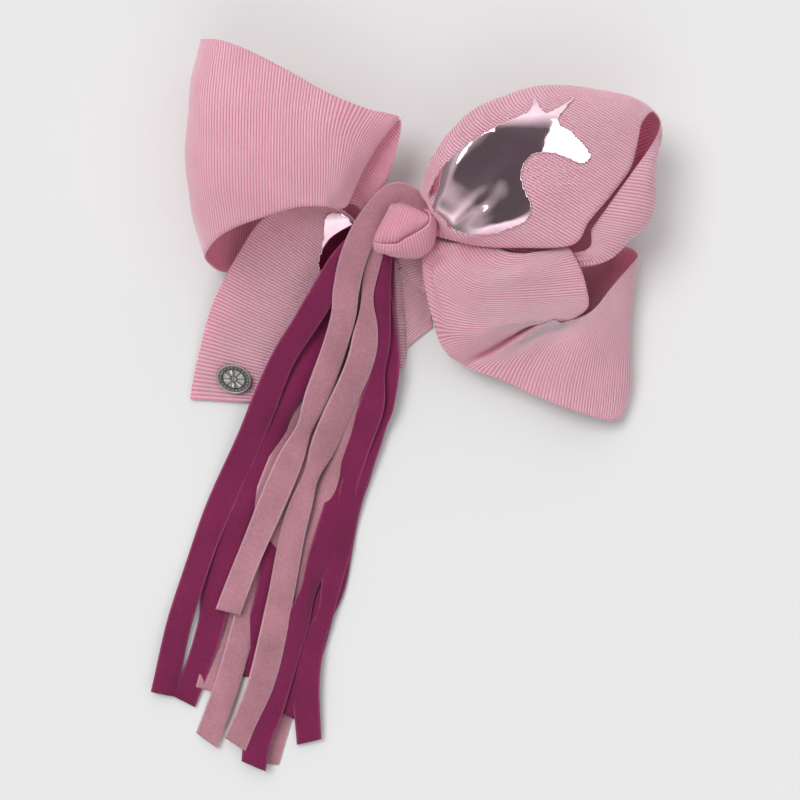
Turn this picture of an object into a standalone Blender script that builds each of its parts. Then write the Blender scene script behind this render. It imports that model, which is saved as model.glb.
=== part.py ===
"""Large grosgrain hair bow on an alligator clip, with fabric streamers and a charm.

The bow lies on its back. The clip runs along X under the knot and rests on z = 0, the
streamers hang toward -Y, and the knot's top faces +Z. Lengths in the tables are millimetres.
"""

import math

import bmesh
import bpy
from mathutils import Matrix, Vector

MM = 0.001
GAP = 0.3  # clearance between pieces that touch

# Cloth
RIBBON_THICKNESS = 0.8
STREAMER_WIDTH = 9.0
STREAMER_THICKNESS = 0.7
STREAMER_PITCH = 1.05  # from one streamer's layer to the next
FOIL_THICKNESS = 0.25

# Clip
SHEET = 0.8  # the arms' sheet steel
LOWER_HALF_WIDTH, UPPER_HALF_WIDTH = 4.2, 5.4
TAPER_START_X, TAPER_DEG = -8.0, 4.0  # the arms narrow from here to the nose
NOSE_X = -31.0
PIN_X, PIN_Z = 14.0, 4.5
PIN_RADIUS = 1.0
PIN_HALF_LENGTH = 6.3
PIN_HOLE_RADIUS = 1.3
LEVER_END_X = 31.0
UPPER_ARM_Z = 8.0
SPRING_WIRE = 0.7
SPRING_MEAN_RADIUS = 2.05
SPRING_TURNS = 4

# Centre of the bow
CORE_HALF = (8.5, 5.4, 4.6)
CORE_Z = 19.2
BAND_HALF_WIDTH = 5.5
BAND_HALF_Y = 8.4
BAND_LOW_Z, BAND_HIGH_Z = 6.4, 26.3
BAND_THICKNESS = 0.9
KNOT_CENTRE = (2.4, -0.2, 34.6)
KNOT_HALF = (10.6, 9.2, 7.0)

# Charm on the left tail
CHARM_CENTRE = (-67.2, -58.7)
CHARM_HALF = (7.3, 5.7)
CHARM_TILT_DEG = -20.0
CHARM_LOW_Z, CHARM_HIGH_Z = 2.9, 4.9
POST_RADIUS = 1.1
WASHER_RADIUS = 3.2

# Each ribbon is a list of ribs: lines across the ribbon, from one selvage to the other.
UPPER_LEFT_LOOP = [
    [(-6, 41, 27.5), (-12, 33, 28), (-17, 25, 28), (-22, 17, 28), (-27, 9.5, 28)],
    [(-1.2, 43, 32), (-7.5, 35.5, 32.5), (-12.5, 27, 33), (-17.5, 18, 33), (-22, 8.5, 32.5)],
    [(-6, 44.2, 36), (-12, 36, 38), (-16.5, 26, 39), (-20.5, 16, 38), (-24, 7.2, 36)],
    [(-14, 45.5, 39), (-19, 36, 43), (-21.5, 26, 44.5), (-24, 16, 43), (-27, 7.2, 39.5)],
    [(-27.8, 50.7, 43), (-29.5, 39, 47.5), (-30, 28.8, 48.5), (-30, 18, 47), (-30.5, 7.6, 43)],
    [(-40.7, 57.7, 45), (-42, 44, 50), (-42.3, 32, 51), (-42.3, 20, 50), (-42.3, 6.6, 45)],
    [(-57.2, 66.5, 45), (-58.2, 49, 51), (-58.6, 32, 52), (-58.7, 16, 50.5), (-58.4, 1.6, 44)],
    [(-69.7, 71.5, 42), (-71.5, 52, 48), (-72, 32, 49.5), (-71.5, 14, 47.5), (-69.4, -3.1, 40)],
    [(-76.5, 73, 35), (-79.5, 54, 41), (-80.5, 32, 42.5), (-79, 12, 40.5), (-75.5, -8.5, 33)],
    [(-79, 74, 22), (-82.5, 54, 25), (-84.3, 29, 26), (-82.5, 9, 25), (-77.5, -11, 21)],
    [(-77, 70, 9), (-80, 50, 9), (-81, 28, 9), (-79, 8, 9), (-74.9, -14.5, 9)],
    [(-66, 62, 3.5), (-68, 44, 3), (-69, 26, 3), (-69, 8, 3.5), (-69, -16, 5)],
    [(-48, 44, 3), (-49, 32, 2.5), (-50, 20, 2.5), (-51, 6, 3), (-54, -14, 4)],
    [(-34, 24, 13), (-34.5, 18, 13.5), (-35, 12, 14), (-35.5, 7, 14), (-37, 2, 12.5)],
    [(-13, 5.5, 17), (-13.5, 4, 17), (-14, 2, 17), (-14, 0, 17), (-14, -2, 16.5)],
]
LEFT_GATHER_FOLD = [
    [(-23, 10.5, 24), (-18, 9.5, 25), (-14, 7.5, 24)],
    [(-23, 20, 24), (-17, 17.5, 25.5), (-11.8, 11.2, 24)],
    [(-18, 28.5, 23.5), (-12, 25, 25), (-6.3, 18.6, 24)],
    [(-14, 35, 23), (-9, 31, 25), (-4.1, 24.5, 24)],
    [(-10, 39, 23), (-6, 36.5, 25), (-2, 31.7, 25)],
    [(-6.5, 42, 24), (-3.5, 41, 25.5), (-0.4, 38.6, 26)],
]
UPPER_RIGHT_LOOP = [
    [(13.5, -3, 27), (14, -0.5, 29.5), (14, 2.5, 30.5), (13, 5.5, 30.5), (11.5, 8, 28.5), (13, 8, 25.5)],
    [(30, -7.2, 33), (24, -3.7, 37), (18, -0.3, 38.5), (11, 7, 36), (7.5, 13.5, 31), (12, 12.5, 26)],
    [(48, -7.8, 36), (37, -1.5, 41), (25, 5.5, 42), (13, 14, 38), (8.8, 20.5, 32), (14, 18, 26)],
    [(66.2, -6.7, 39), (50, 2.6, 43.5), (33, 12.4, 44), (16.5, 22, 39.5), (12.8, 28.5, 33), (18, 26, 27)],
    [(72.2, 2, 41), (56, 11.5, 45), (39, 21, 45.5), (21.7, 31.3, 40.5), (19, 37.5, 34), (25, 33, 27)],
    [(80.9, 12.3, 42), (66, 21, 46), (50, 30.2, 46.5), (33, 40.5, 42), (30, 46.5, 34), (35, 40, 25)],
    [(87.9, 22, 42), (74, 30, 46), (60, 38.2, 46.5), (46, 46, 42), (43, 52, 33), (46, 43, 22)],
    [(90.6, 30.8, 42), (79, 37.5, 45), (68, 43.8, 45), (57, 50, 41), (54, 54.5, 31), (55, 44, 18)],
    [(92.5, 39.7, 42), (84, 44.5, 43.5), (76, 49, 41.5), (68, 53.5, 36), (66, 54.5, 27), (64, 43, 14)],
    [(97, 44.5, 39), (92, 48, 38.5), (86, 51, 35), (79, 53, 29), (76, 51.5, 21), (72, 40, 11)],
    [(100.5, 41, 35), (98, 44.5, 30), (92, 46.5, 24), (85, 46, 17), (79, 42, 12), (72, 32, 8)],
    [(98.2, 34, 37), (101, 35, 31), (99, 33, 20), (90, 29, 9), (80, 26, 6), (66, 22, 5)],
    [(91.8, 24.8, 38), (97, 24, 37), (98.5, 22, 24), (90, 18, 8), (76, 14, 5), (58, 11, 5)],
    [(81, 9.7, 37), (92, 8, 38), (98, 6.5, 31), (90, 5, 20), (74, 5, 9), (52, 6, 5)],
    [(74, 0, 35), (84, -2, 36), (90.5, -3, 31), (82, -2, 24), (64, 2, 12), (48, 3, 9)],
    [(66.8, -9.6, 31), (68.8, -13, 31), (68.5, -15, 28), (58, -10, 22), (48, -4, 17), (40, 1, 15.5)],
    [(18, -6.5, 20), (17.5, -4.5, 18), (17, -2, 17), (16, 0.5, 16), (15, 3, 15.5), (14, 6, 16)],
]
LOWER_RIGHT_LOOP = [
    [(11, -4.5, 25), (22, -5.5, 28), (38, -7, 30.5), (52, -7, 32.5), (64, -7.5, 34)],
    [(10, -6.5, 26), (18, -12, 31), (30, -17, 34.5), (48, -13.5, 36), (67, -10.5, 35.5)],
    [(8.8, -10, 26), (15, -15, 31), (28, -19, 36), (46, -18, 37), (69, -15.5, 35)],
    [(8.2, -18.9, 25.5), (17, -22, 31), (30, -24.5, 34), (48, -23.5, 32.5), (71.5, -21.6, 33)],
    [(9.8, -27.9, 25), (18, -30, 30), (31, -31, 32), (48, -29, 29), (72.8, -28.1, 30)],
    [(12.1, -36.9, 23), (19, -37, 28), (31, -37, 29.5), (47, -34, 26.5), (72, -33, 26.5)],
    [(14.9, -43.9, 19), (21, -42.5, 24), (31, -41.5, 26), (44, -38, 24), (65, -36, 22)],
    [(18.5, -49.3, 15), (24, -47.5, 18), (32, -45.5, 19.5), (42, -41, 20), (57.6, -34, 19.5)],
    [(24, -53, 11), (28.5, -50.8, 13), (36, -47.5, 15.5), (45, -42, 18), (57.6, -33.5, 21)],
    [(39.7, -59.1, 10), (43, -53, 13), (47.5, -47, 16), (53, -41.5, 19), (60.5, -35.3, 22.5)],
    [(50, -64, 11), (52.5, -56, 14.5), (56, -49, 18), (60.5, -42, 21.5), (66.5, -36, 24)],
    [(62.2, -69.1, 13), (63.5, -60, 17.5), (66, -51, 21.5), (69.5, -42, 23.5), (73.7, -32.6, 25)],
    [(73, -73, 14), (74, -62, 19), (76, -50, 22), (79, -38, 23.5), (81.6, -24, 24)],
    [(83, -75.3, 14), (84, -62, 18), (85.5, -47, 20.5), (87, -30, 21.5), (89.6, -14.8, 21)],
    [(88, -73, 9), (91, -58, 10), (90, -44, 11), (90.8, -28, 11.5), (93.5, -9, 12)],
    [(82, -70, 3), (83, -56, 3), (83, -42, 3), (84, -26, 3.5), (88, -6, 4)],
    [(66, -60, 2), (67, -50, 2), (69, -38, 2), (72, -26, 2.5), (78, -11, 4)],
    [(46, -44, 2), (48, -37, 2.5), (50, -29, 3), (53, -21, 4), (58, -12, 6)],
    [(27, -25, 8), (28, -22, 8), (29, -18, 8), (30.5, -14, 8.5), (32, -10, 9)],
    [(13, -12, 13.5), (13.5, -10.8, 13), (14, -9.5, 13), (14.5, -8.3, 13), (15, -7, 13.5)],
]
LEFT_TAIL = [
    [(-27, 9.5, 22.5), (-20, 5, 22), (-15.5, -1.5, 20.5)],
    [(-44, 8, 22.5), (-30, -2, 18.5), (-19, -12, 11)],
    [(-55.3, 3.9, 20), (-38, -8, 13.5), (-19, -22, 6)],
    [(-65.6, -10.2, 13), (-45, -22, 6.5), (-17, -36, 2.6)],
    [(-75.7, -28.8, 5.5), (-50, -40, 3), (-16, -52, 1.6)],
    [(-82.1, -51.5, 2.2), (-52, -58, 1.9), (-14, -64, 1.4)],
    [(-85, -66.7, 1.9), (-52, -68.5, 1.7), (-14, -70, 1.4)],
]
CENTRE_TAIL = [
    [(-5, -11, 12), (0, -10.5, 13), (6, -10, 12)],
    [(-5.2, -14, 11), (1, -14, 13), (8, -12.5, 11)],
    [(-5, -30, 4.5), (2, -28, 6.5), (11, -26, 5)],
    [(-3, -48, 1), (4, -42, 2), (12.4, -37.9, 1.6)],
    [(-1.6, -53.9, 0.8), (3, -46.5, 1), (12.4, -38.8, 1)],
]

# Streamers: centre line on the table, layer far from the knot, layer at the knot.
STREAMERS = {
    "streamer_pink_1": (0, 0, [(-12, -11), (-20.7, -23.4), (-34.8, -55.1), (-46.9, -87.1),
                               (-56.1, -111.2), (-63.7, -131.2), (-69, -151), (-77.8, -183.4)]),
    "streamer_magenta_1": (0, 1, [(-9.5, -12), (-13.5, -35.3), (-24.4, -62), (-33.6, -83.1),
                                  (-41.7, -103.2), (-48.9, -123.2), (-54.5, -147.3), (-62, -178)]),
    "streamer_pink_2": (0, 2.1, [(-6.5, -13), (-9.8, -39.3), (-12.6, -65), (-20.8, -87.1),
                               (-26.5, -111.2), (-37.3, -151.3), (-47.3, -186.2), (-54.5, -213)]),
    "streamer_magenta_2": (1, 3, [(-15, -9), (-30, -34), (-49.2, -76.7), (-61.7, -107.2),
                                  (-73.7, -139.2), (-76.1, -155.2), (-80.9, -171.2), (-87.3, -188)]),
    "streamer_pink_3": (1, 4, [(-11, -12), (-18.2, -27.5), (-28.7, -59.1), (-39.6, -87.1),
                               (-48.1, -109.2), (-59.3, -143.6), (-69.7, -180), (-78.2, -203.5)]),
    "streamer_magenta_3": (1, 4.9, [(-6, -12.7), (-7.2, -39.3), (-9.6, -67.1), (-16, -91.1),
                                  (-26.4, -131.2), (-37.6, -171.2), (-46.5, -193.3)]),
    "streamer_magenta_4": (1.9, 5.9, [(-8, -12), (-7.1, -33.4), (-6, -55.9), (-6.4, -69.1), (-12, -79.9),
                                  (-20.8, -107.1), (-28.8, -147.1), (-36, -165), (-38.4, -181),
                                  (-37.2, -204)]),
    "streamer_pink_4": (2, 7.1, [(-9.5, -11), (-11.1, -31.5), (-15.9, -55.2), (-22.4, -75.1),
                               (-31.6, -107.1), (-40.8, -139.1), (-48.8, -171.1), (-52.9, -187)]),
    "streamer_magenta_5": (2, 8, [(-12.6, 3), (-17.2, -3.7), (-24.4, -12.8), (-30, -23.2), (-38.1, -36.2),
                                  (-48.2, -52.4), (-60, -80.7), (-75.6, -115.9), (-86.4, -147.5),
                                  (-90.8, -163.1), (-95.3, -185)]),
    "streamer_magenta_6": (3, 9, [(-7.1, -12), (-8.7, -33.5), (-9.5, -53.2), (-12, -69.1), (-18.4, -87.1),
                                  (-30.4, -123.1), (-41.6, -155), (-51.6, -187), (-57.6, -203),
                                  (-59.3, -213.5)]),
    "streamer_pink_5": (4, 10, [(-10.5, -10), (-13.4, -23.8), (-14.2, -39.4), (-17.5, -54.4),
                                (-29.6, -81.1), (-42, -114.3), (-48.8, -147.4), (-56, -179),
                                (-66.8, -204.7)]),
    "streamer_pink_6": (4, 11, [(1.5, 12.8), (-1.5, 14.3), (-5.8, 12), (-11, 5), (-15.9, -3.6),
                                (-19.6, -13.1), (-22, -23.9), (-24.1, -37.5), (-34.3, -67.1),
                                (-47.6, -97.9), (-61.6, -131.1), (-69.6, -151.8)]),
}
# Height of the lowest streamer above the table, by Y: it comes down from the knot over the tail.
STREAMER_BED = [(-260, 0.7), (-80, 0.7), (-69, 2.9), (-50, 3.4), (-36, 5.5), (-22, 10), (-12, 14),
                (-4, 16.8), (20, 18)]
STREAMER_FAN_Y = (-15.0, -105.0)  # layers go from the order at the knot to the order on the table

COLOURS = {
    "grosgrain": ((0.66, 0.32, 0.41, 1), 0.7, 0.0),
    "streamer_pink": ((0.46, 0.22, 0.29, 1), 0.85, 0.0),
    "streamer_magenta": ((0.2, 0.02, 0.09, 1), 0.8, 0.0),
    "foil": ((0.75, 0.6, 0.68, 1), 0.1, 1.0),
    "steel": ((0.6, 0.6, 0.62, 1), 0.3, 1.0),
    "charm_metal": ((0.32, 0.31, 0.31, 1), 0.35, 1.0),
    "thread": ((0.75, 0.5, 0.56, 1), 0.8, 0.0),
    "glue": ((0.8, 0.78, 0.7, 1), 0.5, 0.0),
}


def clear_scene():
    for obj in list(bpy.data.objects):
        bpy.data.objects.remove(obj, do_unlink=True)


def new_collection(name):
    collection = bpy.data.collections.new(name)
    bpy.context.scene.collection.children.link(collection)
    return collection


def material(node, look):
    colour, roughness, metallic = COLOURS[look]
    mat = bpy.data.materials.new(node)
    mat.use_nodes = True
    shader = mat.node_tree.nodes["Principled BSDF"]
    shader.inputs["Base Color"].default_value = colour
    shader.inputs["Roughness"].default_value = roughness
    shader.inputs["Metallic"].default_value = metallic
    return mat


def add_object(name, data, look, collection):
    obj = bpy.data.objects.new(name, data)
    obj.data.materials.append(material(name, look))
    collection.objects.link(obj)
    return obj


def mesh_from_bmesh(name, bm):
    bmesh.ops.recalc_face_normals(bm, faces=bm.faces)
    mesh = bpy.data.meshes.new(name)
    bm.to_mesh(mesh)
    bm.free()
    return mesh


def catmull(points, t):
    """A point on the smooth curve through the given points, t from 0 to len(points) - 1."""
    last = len(points) - 1
    i = min(int(t), last - 1)
    f = t - i
    p1, p2 = points[i], points[i + 1]
    p0 = points[i - 1] if i > 0 else p1 * 2 - p2
    p3 = points[i + 2] if i + 2 <= last else p2 * 2 - p1
    return ((p1 * 2) + (p2 - p0) * f + (p0 * 2 - p1 * 5 + p2 * 4 - p3) * f * f
            + (p1 * 3 - p0 - p2 * 3 + p3) * f * f * f) * 0.5


def surface_point(ribs, u, v):
    """A point on the ribbon: u counts ribs along it, v counts points across it."""
    return catmull([catmull([Vector(p) for p in rib], v) for rib in ribs], u)


def surface_normal(ribs, u, v, step=0.02):
    top_u, top_v = len(ribs) - 1, len(ribs[0]) - 1
    along = surface_point(ribs, min(u + step, top_u), v) - surface_point(ribs, max(u - step, 0), v)
    across = surface_point(ribs, u, min(v + step, top_v)) - surface_point(ribs, u, max(v - step, 0))
    return along.cross(across).normalized()


def grid_mesh(name, rows):
    bm = bmesh.new()
    verts = [[bm.verts.new(p * MM) for p in row] for row in rows]
    for i in range(len(rows) - 1):
        for j in range(len(rows[0]) - 1):
            bm.faces.new((verts[i][j], verts[i + 1][j], verts[i + 1][j + 1], verts[i][j + 1]))
    mesh = bpy.data.meshes.new(name)
    bm.to_mesh(mesh)
    bm.free()
    mesh.shade_smooth()
    return mesh


def thicken(obj, thickness):
    solidify = obj.modifiers.new("thickness", "SOLIDIFY")
    solidify.thickness = thickness * MM
    solidify.offset = 0.0
    solidify.use_even_offset = False


def spread(low, high, count):
    return [low + (high - low) * i / count for i in range(count + 1)]


def ribbon(name, ribs, look, collection, steps=3, across=None):
    """A ribbon lofted through its ribs and given its cloth thickness."""
    us = spread(0, len(ribs) - 1, (len(ribs) - 1) * steps)
    vs = spread(0, len(ribs[0]) - 1, across or (len(ribs[0]) - 1) * 2)
    rows = [[surface_point(ribs, u, v) for v in vs] for u in us]
    obj = add_object(name, grid_mesh(name, rows), look, collection)
    thicken(obj, RIBBON_THICKNESS)
    return obj


def foil_patch(name, ribs, u_range, v_range, side, collection, counts):
    """A thin foil print that follows the ribbon's face, just clear of it."""
    lift = side * (RIBBON_THICKNESS / 2 + GAP + FOIL_THICKNESS / 2)
    rows = [[surface_point(ribs, u, v) + surface_normal(ribs, u, v) * lift
             for v in spread(*v_range, counts[1])] for u in spread(*u_range, counts[0])]
    obj = add_object(name, grid_mesh(name, rows), "foil", collection)
    thicken(obj, FOIL_THICKNESS)
    return obj


def lookup(table, x):
    """Straight-line interpolation in a table of (x, value), in rising order of x."""
    for (x0, y0), (x1, y1) in zip(table, table[1:]):
        if x <= x1:
            return y0 + (y1 - y0) * (x - x0) / (x1 - x0)
    return table[-1][1]


def streamer_height(y, far_layer, knot_layer):
    start, end = STREAMER_FAN_Y
    t = min(max((y - end) / (start - end), 0.0), 1.0)
    blend = t * t * (3 - 2 * t)
    return lookup(STREAMER_BED, y) + STREAMER_PITCH * (far_layer * (1 - blend) + knot_layer * blend)


def streamer(name, route, collection):
    far_layer, knot_layer, line = route
    centres = [Vector((x, y, 0)) for x, y in line]
    ts = spread(0, len(centres) - 1, (len(centres) - 1) * 2)
    path = [catmull(centres, t) for t in ts]
    rows = []
    for i, p in enumerate(path):
        ahead, behind = path[min(i + 1, len(path) - 1)], path[max(i - 1, 0)]
        run = (ahead - behind).normalized()
        side = Vector((-run.y, run.x, 0)) * STREAMER_WIDTH / 2
        row = [p - side, p.copy(), p + side]
        for q in row:
            q.z = streamer_height(q.y, far_layer, knot_layer)
        rows.append(row)
    look = "streamer_pink" if "pink" in name else "streamer_magenta"
    obj = add_object(name, grid_mesh(name, rows), look, collection)
    thicken(obj, STREAMER_THICKNESS)
    return obj


def box_bmesh(low, high):
    bm = bmesh.new()
    bmesh.ops.create_cube(bm, size=1.0)
    size = [(h - l) * MM for l, h in zip(low, high)]
    centre = [(h + l) / 2 * MM for l, h in zip(low, high)]
    bmesh.ops.scale(bm, vec=size, verts=bm.verts)
    bmesh.ops.translate(bm, vec=centre, verts=bm.verts)
    return bm


def cylinder_bmesh(radius, length, segments=24):
    bm = bmesh.new()
    bmesh.ops.create_cone(bm, cap_ends=True, segments=segments, radius1=radius * MM,
                          radius2=radius * MM, depth=length * MM)
    return bm


def boolean(obj, other, operation):
    cut = obj.modifiers.new(other.name, "BOOLEAN")
    cut.operation = operation
    cut.solver = "EXACT"
    cut.object = other


def guide(name, mesh, collection):
    obj = bpy.data.objects.new(name, mesh)
    obj.hide_render = True
    obj.display_type = "WIRE"
    collection.objects.link(obj)
    return obj


def along_y(bm, x, z):
    """Turns a cylinder made along Z to lie along Y through (x, z)."""
    turn = Matrix.Rotation(math.radians(90), 4, "X")
    bmesh.ops.transform(bm, matrix=Matrix.Translation((x * MM, 0, z * MM)) @ turn, verts=bm.verts)
    return bm


def arm_outline(centre_line):
    """The closed side outline of a sheet-metal arm, from the line along its middle."""
    half = SHEET / 2
    upper, lower = [], []
    for i, (x, z) in enumerate(centre_line):
        (xa, za) = centre_line[max(i - 1, 0)]
        (xb, zb) = centre_line[min(i + 1, len(centre_line) - 1)]
        length = math.hypot(xb - xa, zb - za)
        nx, nz = -(zb - za) / length, (xb - xa) / length
        upper.append((x + nx * half, z + nz * half))
        lower.append((x - nx * half, z - nz * half))
    return upper + lower[::-1]


def arm_sheet(name, centre_line, half_width):
    """A folded sheet arm: its side outline drawn out to the half width on both sides."""
    bm = bmesh.new()
    outline = [bm.verts.new((x * MM, -half_width * MM, z * MM)) for x, z in arm_outline(centre_line)]
    face = bm.faces.new(outline)
    drawn = bmesh.ops.extrude_face_region(bm, geom=[face])["geom"]
    moved = [item for item in drawn if isinstance(item, bmesh.types.BMVert)]
    bmesh.ops.translate(bm, vec=(0, 2 * half_width * MM, 0), verts=moved)
    return mesh_from_bmesh(name, bm)


def taper_cutter(name, sign, half_width, cutters):
    """A block beside the nose, turned so that it narrows the arm towards its tip."""
    bm = box_bmesh((-40, 0, -2), (0, 10, 16))
    place = Matrix.Translation(Vector((TAPER_START_X, sign * half_width, 0)) * MM)
    turn = Matrix.Rotation(math.radians(TAPER_DEG), 4, "Z")
    flip = Matrix.Diagonal((1, sign, 1, 1))
    bmesh.ops.transform(bm, matrix=place @ flip @ turn, verts=bm.verts)
    return guide(name, mesh_from_bmesh(name, bm), cutters)


def clip_ear(name, side_y, low_z, high_z, cutters):
    """One hinge ear: an upright tab beside the pin."""
    low = (PIN_X - 3.0, side_y - SHEET / 2, low_z)
    high = (PIN_X + 3.0, side_y + SHEET / 2, high_z)
    return guide(name, mesh_from_bmesh(name, box_bmesh(low, high)), cutters)


def clip_arm(name, centre_line, half_width, ear_y, ear_z, tooth, collection, cutters):
    arm = add_object(name, arm_sheet(name, centre_line, half_width), "steel", collection)
    for sign in (-1, 1):
        ear = clip_ear(f"{name}_ear_{sign}", sign * ear_y, *ear_z, cutters)
        boolean(arm, ear, "UNION")
        boolean(arm, taper_cutter(f"{name}_taper_{sign}", sign, half_width, cutters), "DIFFERENCE")
    hole = along_y(cylinder_bmesh(PIN_HOLE_RADIUS, 4 * ear_y), PIN_X, PIN_Z)
    boolean(arm, guide(f"{name}_pin_hole", mesh_from_bmesh(name, hole), cutters), "DIFFERENCE")
    for i in range(3):
        y = (i - 1) * 2.6
        block = box_bmesh((NOSE_X - 0.5, y - 0.5, tooth[0]), (NOSE_X + 0.4, y + 0.5, tooth[1]))
        notch = guide(f"{name}_tooth_{i}", mesh_from_bmesh(name, block), cutters)
        boolean(arm, notch, "DIFFERENCE")
    return arm


def build_clip(collection, cutters):
    lower_line = [(NOSE_X, 2.0), (NOSE_X + 0.9, 0.4), (LEVER_END_X - 4, 0.4), (LEVER_END_X, 0.4)]
    upper_line = [(NOSE_X, 3.2), (NOSE_X + 2.5, 4.2), (NOSE_X + 9, UPPER_ARM_Z + 0.4),
                  (PIN_X + 4, UPPER_ARM_Z + 0.4), (LEVER_END_X, 12.6)]
    clip_arm("clip_lower_arm", lower_line, LOWER_HALF_WIDTH, 3.4, (0.4, 6.3), (0.9, 2.6),
             collection, cutters)
    clip_arm("clip_upper_arm", upper_line, UPPER_HALF_WIDTH, 4.9, (2.7, UPPER_ARM_Z + 0.4), (2.6, 3.6),
             collection, cutters)
    pin = along_y(cylinder_bmesh(PIN_RADIUS, 2 * PIN_HALF_LENGTH), PIN_X, PIN_Z)
    add_object("clip_hinge_pin", mesh_from_bmesh("clip_hinge_pin", pin), "steel", collection)
    build_spring(collection)


def wire(name, points, radius, look, collection, resolution=2):
    """A round wire through the points, capped at both ends."""
    curve = bpy.data.curves.new(name, "CURVE")
    curve.dimensions = "3D"
    curve.bevel_depth = radius * MM
    curve.bevel_resolution = resolution
    curve.use_fill_caps = True
    spline = curve.splines.new("POLY")
    spline.points.add(len(points) - 1)
    for target, point in zip(spline.points, points):
        target.co = (*(Vector(point) * MM), 1)
    obj = add_object(name, curve, look, collection)
    obj.matrix_world = Matrix.Identity(4)
    return obj


def build_spring(collection):
    """A torsion spring round the pin, with one leg on each lever."""
    half_coil = SPRING_TURNS * (SPRING_WIRE + 0.15) / 2
    steps = 16 * SPRING_TURNS + 8
    points = [(PIN_X + 11, -half_coil, 1.5), (PIN_X + 5, -half_coil, 1.7)]
    for i in range(steps + 1):
        angle = math.radians(-90) - 2 * math.pi * i / 16
        points.append((PIN_X + SPRING_MEAN_RADIUS * math.cos(angle),
                       -half_coil + 2 * half_coil * i / steps,
                       PIN_Z + SPRING_MEAN_RADIUS * math.sin(angle)))
    points += [(PIN_X + 5, half_coil, 7.2), (PIN_X + 11, half_coil, 8.7)]
    wire("clip_spring", points, SPRING_WIRE / 2, "steel", collection)


def rounded_box(name, low, high, radius, look, collection):
    obj = add_object(name, mesh_from_bmesh(name, box_bmesh(low, high)), look, collection)
    bevel = obj.modifiers.new("edges", "BEVEL")
    bevel.width = radius * MM
    bevel.segments = 2
    return obj


def build_centre(collection):
    rounded_box("glue_pad", (-12, -4, UPPER_ARM_Z + SHEET + GAP), (9, 4, CORE_Z - CORE_HALF[2] - 1.9),
                0.6, "glue", collection)
    lumpy_ellipsoid("gather_core", (0, 0, CORE_Z), CORE_HALF, 0.06, collection)
    lumpy_ellipsoid("center_knot", KNOT_CENTRE, KNOT_HALF, 0.05, collection)
    thread = []
    turns, per_turn = 4, 20
    for i in range(turns * per_turn + 1):
        angle = 2 * math.pi * i / per_turn
        x = 3.2 * (2 * i / (turns * per_turn) - 1)
        thread.append((x, 6.5 * math.cos(angle), CORE_Z + 5.6 * math.sin(angle)))
    wire("gathering_thread", thread, 0.35, "thread", collection)
    build_band(collection)


def lumpy_ellipsoid(name, centre, half, depth, collection):
    """A gathered bundle: an ellipsoid with soft pleats that run along X."""
    bm = bmesh.new()
    bmesh.ops.create_uvsphere(bm, u_segments=24, v_segments=14, radius=1.0)
    for vert in bm.verts:
        angle = math.atan2(vert.co.y, vert.co.z)
        swell = 1 + depth * math.cos(6 * angle)
        vert.co = Vector((vert.co.x * half[0], vert.co.y * half[1] * swell, vert.co.z * half[2] * swell))
        vert.co = (vert.co + Vector(centre)) * MM
    mesh = mesh_from_bmesh(name, bm)
    mesh.shade_smooth()
    return add_object(name, mesh, "grosgrain", collection)


def build_band(collection):
    """The ribbon band that wraps the core and the clip's upper arm."""
    rows = []
    centre_z, half_z = (BAND_LOW_Z + BAND_HIGH_Z) / 2, (BAND_HIGH_Z - BAND_LOW_Z) / 2
    count = 32
    for i in range(count):
        angle = 2 * math.pi * i / count
        c, s = math.cos(angle), math.sin(angle)
        y = BAND_HALF_Y * math.copysign(abs(c) ** 0.6, c)
        z = centre_z + half_z * math.copysign(abs(s) ** 0.6, s)
        rows.append([Vector((x, y, z)) for x in (-BAND_HALF_WIDTH, 0, BAND_HALF_WIDTH)])
    bm = bmesh.new()
    verts = [[bm.verts.new(p * MM) for p in row] for row in rows]
    for i in range(count):
        j = (i + 1) % count
        for k in range(2):
            bm.faces.new((verts[i][k], verts[j][k], verts[j][k + 1], verts[i][k + 1]))
    obj = add_object("center_wrap_band", mesh_from_bmesh("center_wrap_band", bm), "grosgrain", collection)
    thicken(obj, BAND_THICKNESS)


def build_charm(collection, cutters, tail):
    place = Matrix.Translation(Vector((*CHARM_CENTRE, 0)) * MM) @ Matrix.Rotation(
        math.radians(CHARM_TILT_DEG), 4, "Z")
    disc = cylinder_bmesh(1.0, CHARM_HIGH_Z - CHARM_LOW_Z, 40)
    stretch = Matrix.Diagonal((CHARM_HALF[0], CHARM_HALF[1], 1, 1))
    lift = Matrix.Translation((0, 0, (CHARM_HIGH_Z + CHARM_LOW_Z) / 2 * MM))
    bmesh.ops.transform(disc, matrix=place @ lift @ stretch, verts=disc.verts)
    charm = add_object("charm_medallion", mesh_from_bmesh("charm_medallion", disc), "charm_metal",
                       collection)
    bevel = charm.modifiers.new("rim", "BEVEL")
    bevel.width = 0.3 * MM
    bevel.segments = 2
    for name, radius, low, high in (("charm_post", POST_RADIUS, 0.85, CHARM_LOW_Z - 0.1),
                                    ("charm_washer", WASHER_RADIUS, 0.1, 0.55)):
        bm = cylinder_bmesh(radius, high - low, 28)
        bmesh.ops.translate(bm, vec=Vector((*CHARM_CENTRE, (low + high) / 2)) * MM, verts=bm.verts)
        add_object(name, mesh_from_bmesh(name, bm), "charm_metal", collection)
    hole = cylinder_bmesh(POST_RADIUS + GAP, 8)
    bmesh.ops.translate(hole, vec=Vector((*CHARM_CENTRE, 2)) * MM, verts=hole.verts)
    boolean(tail, guide("charm_hole", mesh_from_bmesh("charm_hole", hole), cutters), "DIFFERENCE")


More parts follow.
